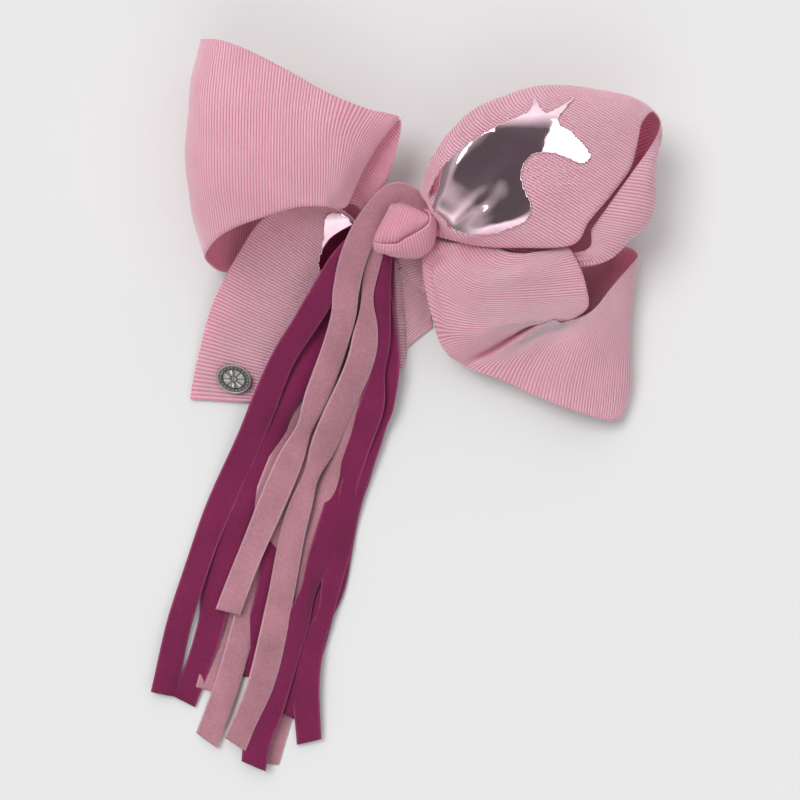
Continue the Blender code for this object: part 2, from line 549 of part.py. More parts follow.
def build():
    clear_scene()
    parts = new_collection("alligator_clip_hair_bow")
    cutters = new_collection("cutters")
    build_clip(parts, cutters)
    build_centre(parts)
    ribbon("loop_upper_left", UPPER_LEFT_LOOP, "grosgrain", parts)
    ribbon("gather_fold_left", LEFT_GATHER_FOLD, "grosgrain", parts, steps=2)
    ribbon("loop_upper_right", UPPER_RIGHT_LOOP, "grosgrain", parts)
    ribbon("loop_lower_right", LOWER_RIGHT_LOOP, "grosgrain", parts)
    tail = ribbon("tail_left", LEFT_TAIL, "grosgrain", parts, across=8)
    ribbon("tail_center", CENTRE_TAIL, "grosgrain", parts, across=6)
    foil_patch("foil_print_loop", UPPER_RIGHT_LOOP, (0.5, 5.6), (0.5, 3.0), 1, parts, (16, 8))
    foil_patch("foil_print_tail", LEFT_TAIL, (0.1, 1.3), (0.5, 1.6), 1, parts, (6, 5))
    build_charm(parts, cutters, tail)
    for name, route in STREAMERS.items():
        streamer(name, route, parts)


build()
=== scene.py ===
"""Looks of the hair bow: ribbons, streamers, foil prints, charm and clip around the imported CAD.

Tables are in millimetres in the row frame; meshes are made in metres.
"""

import math

import bmesh
import bpy
import numpy as np
from mathutils import Matrix, Vector
from mathutils.bvhtree import BVHTree
from mathutils.geometry import delaunay_2d_cdt


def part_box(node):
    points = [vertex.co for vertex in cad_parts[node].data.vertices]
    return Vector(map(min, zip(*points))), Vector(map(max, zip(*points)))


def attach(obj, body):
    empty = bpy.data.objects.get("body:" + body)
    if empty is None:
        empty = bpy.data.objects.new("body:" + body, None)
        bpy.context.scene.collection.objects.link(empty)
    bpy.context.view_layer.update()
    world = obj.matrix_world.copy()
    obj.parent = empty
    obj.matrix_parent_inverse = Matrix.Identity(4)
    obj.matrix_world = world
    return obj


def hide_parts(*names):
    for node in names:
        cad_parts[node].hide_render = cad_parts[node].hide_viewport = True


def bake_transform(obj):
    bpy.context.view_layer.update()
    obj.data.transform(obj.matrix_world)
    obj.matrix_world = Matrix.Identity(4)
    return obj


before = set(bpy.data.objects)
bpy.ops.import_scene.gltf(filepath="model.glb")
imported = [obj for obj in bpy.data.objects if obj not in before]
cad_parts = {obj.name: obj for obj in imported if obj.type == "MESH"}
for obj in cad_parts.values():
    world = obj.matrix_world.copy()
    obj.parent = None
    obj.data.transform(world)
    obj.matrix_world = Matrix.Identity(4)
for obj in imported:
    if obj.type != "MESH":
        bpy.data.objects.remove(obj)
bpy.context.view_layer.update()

MM = 0.001
RIB_PITCH = 1.17
ROWS_PER_RIB = 4
RIB_DEPTH = 0.12
RIBBON_CLOTH = 0.5
STREAMER_CLOTH = 0.45
RIBBON_WIDTH = 0.076

SPRING_WIRE, SPRING_RADIUS, SPRING_TURNS, SPRING_HALF = 0.7, 2.05, 4, 1.7
PIN_X, PIN_Z = 14.0, 4.5
CORE_Z = 19.2
BAND_HALF_Y, BAND_LOW_Z, BAND_HIGH_Z = 8.4, 6.4, 26.3
CHARM_CENTRE, CHARM_HALF, CHARM_TILT_DEG, CHARM_Z = (-67.2, -58.7), (7.3, 5.7), -20.0, (2.9, 4.9)
STREAMER_FAN_Y = (-15.0, -105.0)
STREAMER_PITCH = 1.05
STREAMER_WIDTH = 10.2
FOIL_STEP, FOIL_THICKNESS = 0.8, 0.12

SUN_ENERGY, SUN_SPREAD_DEG, SUN_DIRECTION = 1.5, 32, (0.42, -0.34, -1)
SKY_STRENGTH = 1.19
SKY_BELOW, SKY_OVERHEAD = (0.75, 0.75, 0.76), (0.10, 0.09, 0.10)
SKY_BANDS = ((0.55, 1.0), (0.80, 1.15), (0.90, 0.55), (0.95, 0.12))

# Each ribbon is a list of ribs: lines across the ribbon, from one selvage to the other.
UPPER_LEFT_LOOP = [
    [(-6, 41, 27.5), (-12, 33, 28), (-17, 25, 28), (-22, 17, 28), (-27, 9.5, 28)],
    [(-1.2, 43, 32), (-7.5, 35.5, 32.5), (-12.5, 27, 33), (-17.5, 18, 33), (-22, 8.5, 32.5)],
    [(-6, 44.2, 36), (-12, 36, 38), (-16.5, 26, 39), (-20.5, 16, 38), (-24, 7.2, 36)],
    [(-14, 45.5, 39), (-19, 36, 43), (-21.5, 26, 44.5), (-24, 16, 43), (-27, 7.2, 39.5)],
    [(-27.8, 50.7, 43), (-29.5, 39, 47.5), (-30, 28.8, 48.5), (-30, 18, 47), (-30.5, 7.6, 43)],
    [(-40.7, 57.7, 45), (-42, 44, 50), (-42.3, 32, 51), (-42.3, 20, 50), (-42.3, 6.6, 45)],
    [(-57.2, 66.5, 45), (-58.2, 49, 51), (-58.6, 32, 52), (-58.7, 16, 50.5), (-58.4, 1.6, 44)],
    [(-69.7, 71.5, 42), (-71.5, 52, 48), (-72, 32, 49.5), (-71.5, 14, 47.5), (-69.4, -3.1, 40)],
    [(-76.5, 73, 35), (-79.5, 54, 41), (-80.5, 32, 42.5), (-79, 12, 40.5), (-75.5, -8.5, 33)],
    [(-79, 74, 22), (-82.5, 54, 25), (-84.3, 29, 26), (-82.5, 9, 25), (-77.5, -11, 21)],
    [(-77, 70, 9), (-80, 50, 9), (-81, 28, 9), (-79, 8, 9), (-74.9, -14.5, 9)],
    [(-66, 62, 3.5), (-68, 44, 3), (-69, 26, 3), (-69, 8, 3.5), (-69, -16, 5)],
    [(-48, 44, 3), (-49, 32, 2.5), (-50, 20, 2.5), (-51, 6, 3), (-54, -14, 4)],
    [(-34, 24, 13), (-34.5, 18, 13.5), (-35, 12, 14), (-35.5, 7, 14), (-37, 2, 12.5)],
    [(-13, 5.5, 17), (-13.5, 4, 17), (-14, 2, 17), (-14, 0, 17), (-14, -2, 16.5)],
]
LEFT_GATHER_FOLD = [
    [(-23, 10.5, 24), (-18, 9.5, 25), (-14, 7.5, 24)],
    [(-23, 20, 24), (-17, 17.5, 25.5), (-11.8, 11.2, 24)],
    [(-18, 28.5, 23.5), (-12, 25, 25), (-6.3, 18.6, 24)],
    [(-14, 35, 23), (-9, 31, 25), (-4.1, 24.5, 24)],
    [(-10, 39, 23), (-6, 36.5, 25), (-2, 31.7, 25)],
    [(-6.5, 42, 24), (-3.5, 41, 26), (-0.4, 38.6, 27.5)],
    [(-5.5, 43.4, 25), (-3, 43.2, 28), (-0.3, 42.3, 30.3)],
]
UPPER_RIGHT_LOOP = [
    [(13.5, -3, 27), (14, -0.5, 29.5), (14, 2.5, 30.5), (13, 5.5, 30.5), (11.5, 8, 28.5), (13, 8, 25.5)],
    [(30, -7.2, 33), (24, -3.7, 37), (18, -0.3, 38.5), (11, 7, 36), (7.5, 13.5, 31), (12, 12.5, 26)],
    [(48, -7.8, 36), (37, -1.5, 41), (25, 5.5, 42), (13, 14, 38), (8.8, 20.5, 32), (14, 18, 26)],
    [(66.2, -6.7, 39), (50, 2.6, 43), (33, 12.4, 43.8), (16.5, 22, 41), (12.8, 28.5, 33.5), (18, 26, 27)],
    [(72.2, 2, 40), (56, 11.5, 44.5), (39, 21, 45.3), (21.7, 31.3, 42.2), (19, 37.5, 34.5), (25, 33, 27)],
    [(80.9, 12.3, 38.5), (66, 21, 43.2), (50, 30.2, 46.3), (33, 40.5, 44.3), (30, 46.5, 35), (35, 40, 25)],
    [(87.9, 22, 38.8), (74, 30, 42.6), (60, 38.2, 45.4), (46, 46, 43.4), (43, 52, 34), (46, 43, 22)],
    [(90.6, 30.8, 40), (79, 37.5, 42.8), (68, 43.8, 43.5), (57, 50, 41), (54, 54.5, 31), (55, 44, 18)],
    [(92.5, 39.7, 42), (84, 44.5, 43.5), (76, 49, 41.5), (68, 53.5, 36), (66, 54.5, 27), (64, 43, 14)],
    [(97, 44.5, 39), (92, 48, 38.5), (86, 51, 35), (79, 53, 29), (76, 51.5, 21), (72, 40, 11)],
    [(100.5, 41, 35), (98, 44.5, 30), (92, 46.5, 24), (85, 46, 17), (79, 42, 12), (72, 32, 8)],
    [(98.2, 34, 37), (101, 35, 31), (99, 33, 20), (90, 29, 9), (80, 26, 6), (66, 22, 5)],
    [(91.8, 24.8, 38), (97, 24, 37), (98.5, 22, 24), (90, 18, 8), (76, 14, 5), (58, 11, 5)],
    [(81, 9.7, 37), (92, 8, 38), (98, 6.5, 31), (90, 5, 20), (74, 5, 9), (52, 6, 5)],
    [(74, 0, 35), (84, -2, 36), (90.5, -3, 31), (82, -2, 24), (64, 2, 12), (48, 3, 9)],
    [(66.8, -9.6, 31), (68.8, -13, 31), (68.5, -15, 28), (58, -10, 22), (48, -4, 17), (40, 1, 15.5)],
    [(7.5, -4, 20.5), (7, -2.5, 20), (6.5, -1, 19.5), (6.5, 0.5, 19), (6.5, 2, 18.5), (6.5, 3.5, 18)],
]
LOWER_RIGHT_LOOP = [
    [(36, -6.5, 30), (40, -9.5, 33), (46, -10.5, 34.5), (54, -9.5, 35), (64, -7.5, 34)],
    [(28, -6.3, 29.5), (33, -13, 34.5), (41, -15.5, 36), (52, -14, 36.5), (66, -10, 35.5)],
    [(20, -5.8, 28), (25.5, -14.5, 34.5), (35, -19, 36.5), (50, -18.5, 36.5), (69, -15.5, 35)],
    [(13, -5.2, 26.5), (19, -15.5, 33), (30, -22.5, 35.5), (48, -22.5, 33.5), (71, -20.5, 33)],
    [(8.8, -9, 26), (14.5, -18, 30.5), (28, -26.5, 33.5), (47, -27, 30.5), (72.3, -25.5, 31.5)],
    [(8.2, -16, 25.5), (15.5, -23, 29.5), (29, -30, 31.5), (48, -30, 28.5), (72.8, -28.1, 30)],
    [(9.5, -25, 25), (17, -30.5, 28.5), (30.5, -34.5, 29.5), (48, -33.3, 27), (72.4, -31, 28)],
    [(12.1, -35.5, 23), (19, -38, 26.5), (31, -39, 28), (46, -36.8, 25.5), (69, -34.2, 24.5)],
    [(14.9, -43.9, 19), (21, -42.5, 24), (31, -41.5, 26), (44, -38, 24), (65, -36, 22)],
    [(18.5, -49.3, 15), (24, -47.5, 18), (32, -45.5, 19.5), (42, -41, 20), (57.6, -34, 19.5)],
    [(24, -53, 9), (28.5, -50.4, 10.5), (35.5, -47, 12), (44.5, -41.6, 14.5), (57.4, -33.8, 18)],
    [(27, -54.6, 10.5), (31.5, -52, 13.5), (38.5, -48.3, 17), (47.5, -42.6, 20.5), (58.6, -34, 24)],
    [(39.7, -59.1, 11.5), (43, -53, 15.5), (47.5, -47.5, 19), (53.5, -42, 22), (62, -36.8, 24.5)],
    [(50, -64, 11), (52.5, -56, 14.5), (56, -49, 18), (60.5, -42, 21.5), (66.5, -36, 24)],
    [(62.2, -69.1, 13), (63.5, -60, 17.5), (66, -51, 21.5), (69.5, -42, 23.5), (73.7, -32.6, 25)],
    [(73, -73, 12), (74, -62, 17), (76, -50, 20), (79, -38, 21.5), (81.6, -24, 22)],
    [(83, -75.3, 8), (84, -62, 12), (85.5, -47, 14.5), (87, -30, 16), (89.6, -14.8, 16)],
    [(88, -73, 5), (91, -58, 7), (90, -44, 8.5), (90.8, -28, 9), (93.5, -9, 10)],
    [(82, -70, 3), (83, -56, 3), (83, -42, 3), (84, -26, 3.5), (88, -6, 4)],
    [(66, -60, 2), (67, -50, 2), (69, -38, 2), (72, -26, 2.5), (78, -11, 4)],
    [(46, -44, 2), (48, -37, 2.5), (50, -29, 3), (53, -21, 4), (58, -12, 6)],
    [(27, -25, 8), (28, -22, 8), (29, -18, 8), (30.5, -14, 8.5), (32, -10, 9)],
    [(6.5, -4.5, 17.5), (6.5, -3.5, 17), (6.5, -2.5, 17), (6.5, -1.5, 17), (6.5, -0.5, 17)],
]
LEFT_TAIL = [
    [(-27, 9.5, 22.5), (-20, 5, 22), (-15.5, -1.5, 20.5)],
    [(-44, 8, 22.5), (-30, -2, 18.5), (-19, -12, 11)],
    [(-55.3, 3.9, 20), (-38, -8, 13.5), (-19, -22, 6)],
    [(-65.6, -10.2, 13), (-45, -22, 6.5), (-17, -36, 2.6)],
    [(-75.7, -28.8, 5.5), (-50, -40, 3), (-16, -52, 1.6)],
    [(-82.1, -51.5, 2.2), (-52, -58, 1.9), (-14, -64, 1.4)],
    [(-85, -66.7, 1.9), (-52, -68.5, 1.7), (-14, -70, 1.4)],
]
CENTRE_TAIL = [
    [(-6, -19, 11.5), (1, -14, 13), (8, -8.5, 12)],
    [(-4, -23.3, 9), (3, -18, 10.2), (9, -11.5, 10.5)],
    [(-2.4, -31.3, 5), (5, -26, 6.2), (10.2, -20.3, 6)],
    [(-1, -39.3, 2.2), (6, -34, 3.2), (11.2, -29.5, 2.8)],
    [(0.6, -47.2, 0.9), (6.5, -42, 1.4), (12.2, -37.9, 1.2)],
]
CENTRE_FLAP = [
    [(-2.6, -10, 15), (3, -8.6, 16), (9, -7, 15.5)],
    [(-0.8, -14.5, 13.2), (4, -13, 13.6), (9.4, -11.4, 13)],
    [(2.8, -18.2, 11.2), (6, -17.2, 11.4), (9.7, -16, 11)],
    [(6, -21.6, 9.2), (8, -21, 9.3), (10, -20.3, 9)],
    [(8.8, -24.2, 7.4), (9.5, -24, 7.4), (10.2, -23.7, 7.2)],
]
CENTRE_ROLL = [
    [(-5.6, -12.5, 13), (-3.4, -12.3, 14.6), (-1.4, -12.2, 13.2)],
    [(-5.4, -20, 9.8), (-2.6, -20, 11.8), (-0.2, -20, 10.2)],
    [(-5.2, -30, 5.2), (-2, -30, 7.4), (0.6, -30, 5.6)],
    [(-4.6, -42, 1.8), (-1.2, -42, 4), (1.4, -42, 2.2)],
    [(-4, -49, 1), (-0.8, -49, 3), (1.6, -49, 1.2)],
    [(-2.6, -54.5, 0.8), (-1, -54.7, 1.6), (0.4, -54.8, 0.9)],
]

# Streamers: centre line on the table, layer far from the knot, layer at the knot.
STREAMERS = {
    "streamer_pink_1": (0, 0, [(-12, -11), (-20.7, -23.4), (-34.8, -55.1), (-46.9, -87.1),
                               (-56.1, -111.2), (-63.7, -131.2), (-69, -151), (-77.8, -183.4)]),
    "streamer_magenta_1": (0, 1, [(-9.5, -12), (-13.5, -35.3), (-24.4, -62), (-33.6, -83.1),
                                  (-41.7, -103.2), (-48.9, -123.2), (-54.5, -147.3), (-62, -178)]),
    "streamer_pink_2": (0, 2.1, [(-6.5, -13), (-9.8, -39.3), (-12.6, -65), (-20.8, -87.1),
                               (-26.5, -111.2), (-37.3, -151.3), (-47.3, -186.2), (-54.5, -213)]),
    "streamer_magenta_2": (1, 3, [(-15, -9), (-30, -34), (-49.2, -76.7), (-61.7, -107.2),
                                  (-73.7, -139.2), (-76.1, -155.2), (-80.9, -171.2), (-87.3, -188)]),
    "streamer_pink_3": (1, 4, [(-11, -12), (-18.2, -27.5), (-28.7, -59.1), (-39.6, -87.1),
                               (-48.1, -109.2), (-59.3, -143.6), (-69.7, -180), (-78.2, -203.5)]),
    "streamer_magenta_3": (1, 4.9, [(-6, -12.7), (-7.2, -39.3), (-9.6, -67.1), (-16, -91.1),
                                  (-26.4, -131.2), (-37.6, -171.2), (-46.5, -193.3)]),
    "streamer_magenta_4": (1.9, 5.9, [(-8, -12), (-7.1, -33.4), (-6, -55.9), (-6.4, -69.1), (-12, -79.9),
                                  (-20.8, -107.1), (-28.8, -147.1), (-36, -165), (-38.4, -181),
                                  (-37.2, -204)]),
    "streamer_pink_4": (2, 7.1, [(-9.5, -11), (-11.1, -31.5), (-15.9, -55.2), (-22.4, -75.1),
                               (-31.6, -107.1), (-40.8, -139.1), (-48.8, -171.1), (-52.9, -187)]),
    "streamer_magenta_5": (2, 8, [(-12.6, 3), (-17.2, -3.7), (-24.4, -12.8), (-30, -23.2), (-38.1, -36.2),
                                  (-48.2, -52.4), (-60, -80.7), (-75.6, -115.9), (-86.4, -147.5),
                                  (-90.8, -163.1), (-95.3, -185)]),
    "streamer_magenta_6": (3, 9, [(-7.1, -12), (-8.7, -33.5), (-9.5, -53.2), (-12, -69.1), (-18.4, -87.1),
                                  (-30.4, -123.1), (-41.6, -155), (-51.6, -187), (-57.6, -203),
                                  (-59.3, -213.5)]),
    "streamer_pink_5": (4, 10, [(-10.5, -10), (-13.4, -23.8), (-14.2, -39.4), (-17.5, -54.4),
                                (-29.6, -81.1), (-42, -114.3), (-48.8, -147.4), (-56, -179),
                                (-66.8, -204.7)]),
    "streamer_pink_6": (4, 11, [(7.5, 7.5), (4, 12.4), (-1.2, 14.2), (-5.8, 12), (-11, 5), (-15.9, -3.6),
                                (-19.6, -13.1), (-22, -23.9), (-24.1, -37.5), (-34.3, -67.1),
                                (-47.6, -97.9), (-61.6, -131.1), (-69.6, -151.8)]),
}
TWISTS = {  # distances along a streamer where it half turns, and so looks narrower
    "streamer_pink_6": (118,), "streamer_pink_5": (22, 96), "streamer_magenta_4": (60, 150),
    "streamer_magenta_2": (75,), "streamer_pink_3": (130,), "streamer_magenta_6": (48, 140),
    "streamer_pink_4": (85,), "streamer_magenta_3": (30, 105), "streamer_pink_1": (70, 150),
}
# Height of the lowest streamer above the table, by Y: it comes down from the knot over the tail.
STREAMER_BED = [(-260, 0.7), (-80, 0.7), (-69, 2.9), (-50, 3.4), (-36, 5.5), (-22, 10), (-12, 14),
                (-4, 16.8), (20, 18)]
KNOT_DOME = [
    [(-3.5, 9.5, 26), (-5, 7.5, 35), (-8, 2, 37), (-10, -2.5, 36.5), (-11, -6.3, 33)],
    [(-2.5, 9.9, 26), (-3.5, 7.5, 37), (-6, 1.5, 39.8), (-8, -3, 39), (-9, -6.8, 36)],
    [(-0.5, 9.9, 26), (-1, 7.5, 38), (-3, 1.5, 41.2), (-4.8, -3, 40.5), (-5.5, -7, 38)],
    [(2, 9.4, 26), (1.8, 7, 38.5), (0, 1.5, 42), (-1.5, -3, 41.3), (-2, -7, 38.8)],
    [(4.5, 8.6, 26), (4.6, 6.3, 38.5), (3.2, 2, 41.8), (1.6, -2, 41.2), (0.6, -5.7, 39)],
    [(7, 7.4, 26), (7.3, 5.5, 38), (6.2, 2.3, 41), (5, -0.5, 40.6), (4, -4, 38.8)],
    [(9.5, 6.1, 26), (9.8, 4.8, 37), (9.2, 2.6, 39.6), (8.4, 0.6, 39.5), (7.5, -1.8, 38.2)],
    [(11.5, 4.5, 26), (11.8, 3.7, 35.5), (11.5, 2.4, 37.8), (11, 1.2, 37.6), (10.3, 0, 36.8)],
]
KNOT_FLAP = [
    [(-10.8, -6, 35.3), (-11, -8, 34), (-9.8, -9.4, 31.5), (-8.5, -9, 28.5)],
    [(-8, -6.6, 38.8), (-8.2, -8.8, 36.8), (-7, -10, 33), (-6.5, -9.8, 29)],
    [(-5, -6.9, 40.2), (-5.3, -9.4, 38.2), (-4.5, -11, 34), (-4, -11, 29.5)],
    [(-1.6, -6.7, 41.2), (-1.7, -9.4, 39.2), (-1, -11.5, 35), (-0.5, -11.6, 29.5)],
    [(1.2, -5, 42), (1.8, -8.4, 40.2), (2.5, -11.3, 35.5), (2.5, -11.8, 29.5)],
    [(5.2, -2.9, 42.2), (6.2, -6.6, 40.2), (7, -10.6, 35), (6.5, -11.4, 29.5)],
    [(8.8, -0.6, 41.6), (10.2, -4.2, 39.2), (10.6, -8, 34.5), (10, -9, 29.5)],
    [(10.9, 2.2, 40.3), (12.4, -1.2, 37.7), (12.6, -4.6, 34), (12, -6, 29.5)],
    [(10.4, 5.6, 38), (12.6, 3.6, 36), (13.2, 1, 33), (12.6, -1, 29.5)],
    [(8.6, 7.2, 34.5), (10.6, 7, 34), (12.6, 5.5, 32), (12.6, 3.5, 29.5)],
]
UPPER_RIGHT_PLEATS = [(0.1, 1.6, 6.0, 0.24, 0.055, 1.7), (0.1, 1.5, 5.5, 0.40, 0.045, -1.5),
                      (0.1, 1.4, 5.0, 0.56, 0.05, 1.6), (0.1, 1.3, 4.0, 0.70, 0.05, -0.7)]
# Plan outlines of the foil prints: a plain horned horse's head and neck, and a plain patch.
FOIL_LOOP = [(8, -1), (8.5, 9), (12.5, 19), (19, 27), (28, 34), (37, 39), (44, 42), (48.5, 44.5),
    (51, 50), (54, 45), (56.5, 44), (67.5, 50), (60.5, 40.5), (66, 36), (72, 29.5), (73, 26.5), (71, 24),
    (67, 24), (61, 26.5), (55, 27.5), (49.5, 26), (46.5, 21), (47, 15), (50, 8), (48.5, 2), (42, -1.5),
    (34, -4), (25, -5), (16, -4)]
FOIL_TAIL = [(-29.9, 6.0), (-20.5, 6.4), (-18.1, 2.9), (-21.6, -4.2), (-26.0, -9.7), (-32.2, -16.0),
    (-33.8, -12.9), (-31.8, -4.2)]


# ---------------------------------------------------------------- camera, light and floor
def make_camera():
    data = bpy.data.cameras.new("camera")
    data.lens = 120
    data.sensor_width = 36
    data.clip_start, data.clip_end = 0.05, 20
    camera = bpy.data.objects.new("camera", data)
    camera.location = (-0.0008, -0.0671, 1.070)
    bpy.context.scene.collection.objects.link(camera)
    bpy.context.scene.camera = camera


def reflection_card(name, place, size, energy):
    """A lit card overhead that only mirrors see, so that it marks the foil and leaves the shading."""
    light = bpy.data.lights.new(name, "AREA")
    light.shape, light.size, light.size_y = "RECTANGLE", size[0], size[1]
    light.energy = energy
    card = bpy.data.objects.new(name, light)
    card.location = place
    card.visible_diffuse = False
    bpy.context.scene.collection.objects.link(card)


def make_light():
    bpy.context.scene.view_settings.view_transform = "Standard"
    sun = bpy.data.lights.new("key", "SUN")
    sun.energy = SUN_ENERGY
    sun.angle = math.radians(SUN_SPREAD_DEG)
    lamp = bpy.data.objects.new("key", sun)
    lamp.rotation_euler = Vector(SUN_DIRECTION).to_track_quat("-Z", "Y").to_euler()
    lamp.visible_glossy = False
    bpy.context.scene.collection.objects.link(lamp)
    reflection_card("right_card", (0.56, 0.14, 1.1), (0.56, 0.90), 3.0)
    reflection_card("left_card", (-0.33, 0.36, 1.0), (0.24, 0.26), 0.5)


def make_sky():
    """A soft studio round the object: bright low down, dark overhead, dimmer at both sides."""
    world = bpy.data.worlds.new("studio")
    bpy.context.scene.world = world
    world.use_nodes = True
    nodes, links = world.node_tree.nodes, world.node_tree.links
    background = nodes["Background"]
    where = nodes.new("ShaderNodeTexCoord")
    split = nodes.new("ShaderNodeSeparateXYZ")
    links.new(where.outputs["Generated"], split.inputs[0])
    ramp = nodes.new("ShaderNodeValToRGB")
    for element, colour in zip(ramp.color_ramp.elements, (SKY_BELOW, SKY_OVERHEAD)):
        element.color = (*colour, 1)
    for position, grey in SKY_BANDS:
        ramp.color_ramp.elements.new(position).color = (grey, grey, grey, 1)
    links.new(split.outputs["Z"], ramp.inputs["Fac"])
    left = map_range(nodes, links, split.outputs["X"], (-0.75, -0.1), (0.25, 1.0))
    right = map_range(nodes, links, split.outputs["X"], (0.15, 0.8), (1.0, 0.30))
    side = math_node(nodes, links, "MULTIPLY", left, right)
    links.new(scaled(nodes, links, ramp.outputs["Color"], side), background.inputs["Color"])
    background.inputs["Strength"].default_value = SKY_STRENGTH


def make_floor():
    bm = bmesh.new()
    bmesh.ops.create_grid(bm, x_segments=8, y_segments=8, size=4.0)
    floor = mesh_object("floor", bm_mesh("floor", bm), floor_material())
    floor.location.z = -0.0002


# ---------------------------------------------------------------- materials
def new_material(name):
    mat = bpy.data.materials.new(name)
    mat.use_nodes = True
    return mat, mat.node_tree.nodes, mat.node_tree.links, mat.node_tree.nodes["Principled BSDF"]


def math_node(nodes, links, operation, first, second=None):
    node = nodes.new("ShaderNodeMath")
    node.operation = operation
    for socket, value in zip(node.inputs, (first, second)):
        if value is None:
            continue
        if isinstance(value, (int, float)):
            socket.default_value = value
        else:
            links.new(value, socket)
    return node.outputs[0]


def mix_colours(nodes, links, fac, first, second, blend="MIX"):
    node = nodes.new("ShaderNodeMix")
    node.data_type = "RGBA"
    node.blend_type = blend
    for socket, value in zip((node.inputs[0], node.inputs[6], node.inputs[7]), (fac, first, second)):
        if isinstance(value, (int, float, tuple)):
            socket.default_value = value
        else:
            links.new(value, socket)
    return node.outputs[2]


def map_range(nodes, links, value, come_from, go_to=(0.0, 1.0)):
    node = nodes.new("ShaderNodeMapRange")
    node.inputs["From Min"].default_value, node.inputs["From Max"].default_value = come_from
    node.inputs["To Min"].default_value, node.inputs["To Max"].default_value = go_to
    links.new(value, node.inputs["Value"])
    return node.outputs[0]


def scaled(nodes, links, colour, factor):
    """A colour times a factor, as a linked socket."""
    node = nodes.new("ShaderNodeVectorMath")
    node.operation = "SCALE"
    links.new(colour, node.inputs[0])
    links.new(factor, node.inputs["Scale"])
    return node.outputs[0]


def set_sockets(shader, **values):
    """Sets the shader's own sockets, named with underscores for spaces."""
    for name, value in values.items():
        shader.inputs[name.replace("_", " ")].default_value = value


def noise(nodes, links, vector, scale, detail=2.0, roughness=0.5):
    node = nodes.new("ShaderNodeTexNoise")
    node.inputs["Scale"].default_value = scale
    node.inputs["Detail"].default_value = detail
    node.inputs["Roughness"].default_value = roughness
    links.new(vector, node.inputs["Vector"])
    return node.outputs["Fac"]


def stretched(nodes, links, vector, scale):
    node = nodes.new("ShaderNodeMapping")
    node.inputs["Scale"].default_value = scale
    links.new(vector, node.inputs["Vector"])
    return node.outputs["Vector"]


def bump(nodes, links, height, distance, strength=1.0):
    node = nodes.new("ShaderNodeBump")
    node.inputs["Strength"].default_value = strength
    node.inputs["Distance"].default_value = distance
    links.new(height, node.inputs["Height"])
    return node.outputs["Normal"]


def floor_material():
    mat, _, _, shader = new_material("floor")
    set_sockets(shader, Base_Color=(0.8, 0.8, 0.8, 1), Roughness=0.9, Specular_IOR_Level=0.1)
    return mat


def grosgrain_material(name, crest, shaded_groove):
    """Woven ribbon: crests and grooves by the rib count in U, with painted shade making the grooves darker
    and deeper pink, and fine warp threads across them.
    """
    mat, nodes, links, shader = new_material(name)
    coords = nodes.new("ShaderNodeTexCoord")
    split = nodes.new("ShaderNodeSeparateXYZ")
    links.new(coords.outputs["UV"], split.inputs[0])
    turn = math_node(nodes, links, "MULTIPLY", split.outputs["X"], 2 * math.pi)
    wave = math_node(nodes, links, "COSINE", turn)
    rise = math_node(nodes, links, "MULTIPLY_ADD", wave, 0.5)
    rise.node.inputs[2].default_value = 0.5
    warp = noise(nodes, links, stretched(nodes, links, coords.outputs["UV"], (0.6, 2.6, 1)), 1.0, 3, 0.6)
    patches = noise(nodes, links, coords.outputs["Object"], 45, 2)
    # Painted shade: the colour runs from the crest colour to a darker, deeper groove colour between the
    # ribs.
    colour = mix_colours(nodes, links, rise, shaded_groove, crest)
    shade = mix_colours(nodes, links, 0.22, colour, warp, "OVERLAY")
    tone = map_range(nodes, links, patches, (0.3, 0.7), (0.95, 1.04))
    links.new(scaled(nodes, links, shade, tone), shader.inputs["Base Color"])
    height = math_node(nodes, links, "MULTIPLY_ADD", warp, 0.5)
    links.new(rise, height.node.inputs[2])
    links.new(bump(nodes, links, height, 0.00012, 0.6), shader.inputs["Normal"])
    set_sockets(shader, Roughness=0.62, Specular_IOR_Level=0.35, Sheen_Weight=0.12,
                Sheen_Roughness=0.4, Sheen_Tint=(1.0, 0.85, 0.9, 1), Subsurface_Weight=1.0,
                Subsurface_Radius=(1.0, 0.75, 0.8), Subsurface_Scale=0.0018)
    return mat


def knit_material(name, body, edge):
    """Soft jersey strip: matt, faintly mottled, with paler edges that are a painted highlight where the
    curled edges catch the light (V is 0 and 1 there).
    """
    mat, nodes, links, shader = new_material(name)
    coords = nodes.new("ShaderNodeTexCoord")
    split = nodes.new("ShaderNodeSeparateXYZ")
    links.new(coords.outputs["UV"], split.inputs[0])
    fuzz = noise(nodes, links, coords.outputs["Object"], 900, 3, 0.6)
    blotch = noise(nodes, links, coords.outputs["Object"], 60, 3)
    off = math_node(nodes, links, "SUBTRACT", split.outputs["Y"], 0.5)
    reach = math_node(nodes, links, "ABSOLUTE", off)
    ragged = math_node(nodes, links, "MULTIPLY_ADD", fuzz, 0.05)
    links.new(reach, ragged.node.inputs[2])
    # Mask of the painted highlight along both curled edges.
    rim = map_range(nodes, links, ragged, (0.44, 0.52))
    mottled = mix_colours(nodes, links, 0.30, body, blotch, "OVERLAY")
    fuzzy = mix_colours(nodes, links, 0.25, mottled, fuzz, "OVERLAY")
    colour = mix_colours(nodes, links, rim, fuzzy, edge)
    links.new(colour, shader.inputs["Base Color"])
    wales = noise(nodes, links, stretched(nodes, links, coords.outputs["UV"], (0.5, 22, 1)), 1.0, 2)
    height = math_node(nodes, links, "ADD", fuzz, wales)
    links.new(bump(nodes, links, height, 0.00018, 0.5), shader.inputs["Normal"])
    set_sockets(shader, Roughness=0.85, Specular_IOR_Level=0.2, Sheen_Weight=0.2, Sheen_Roughness=0.5)
    return mat


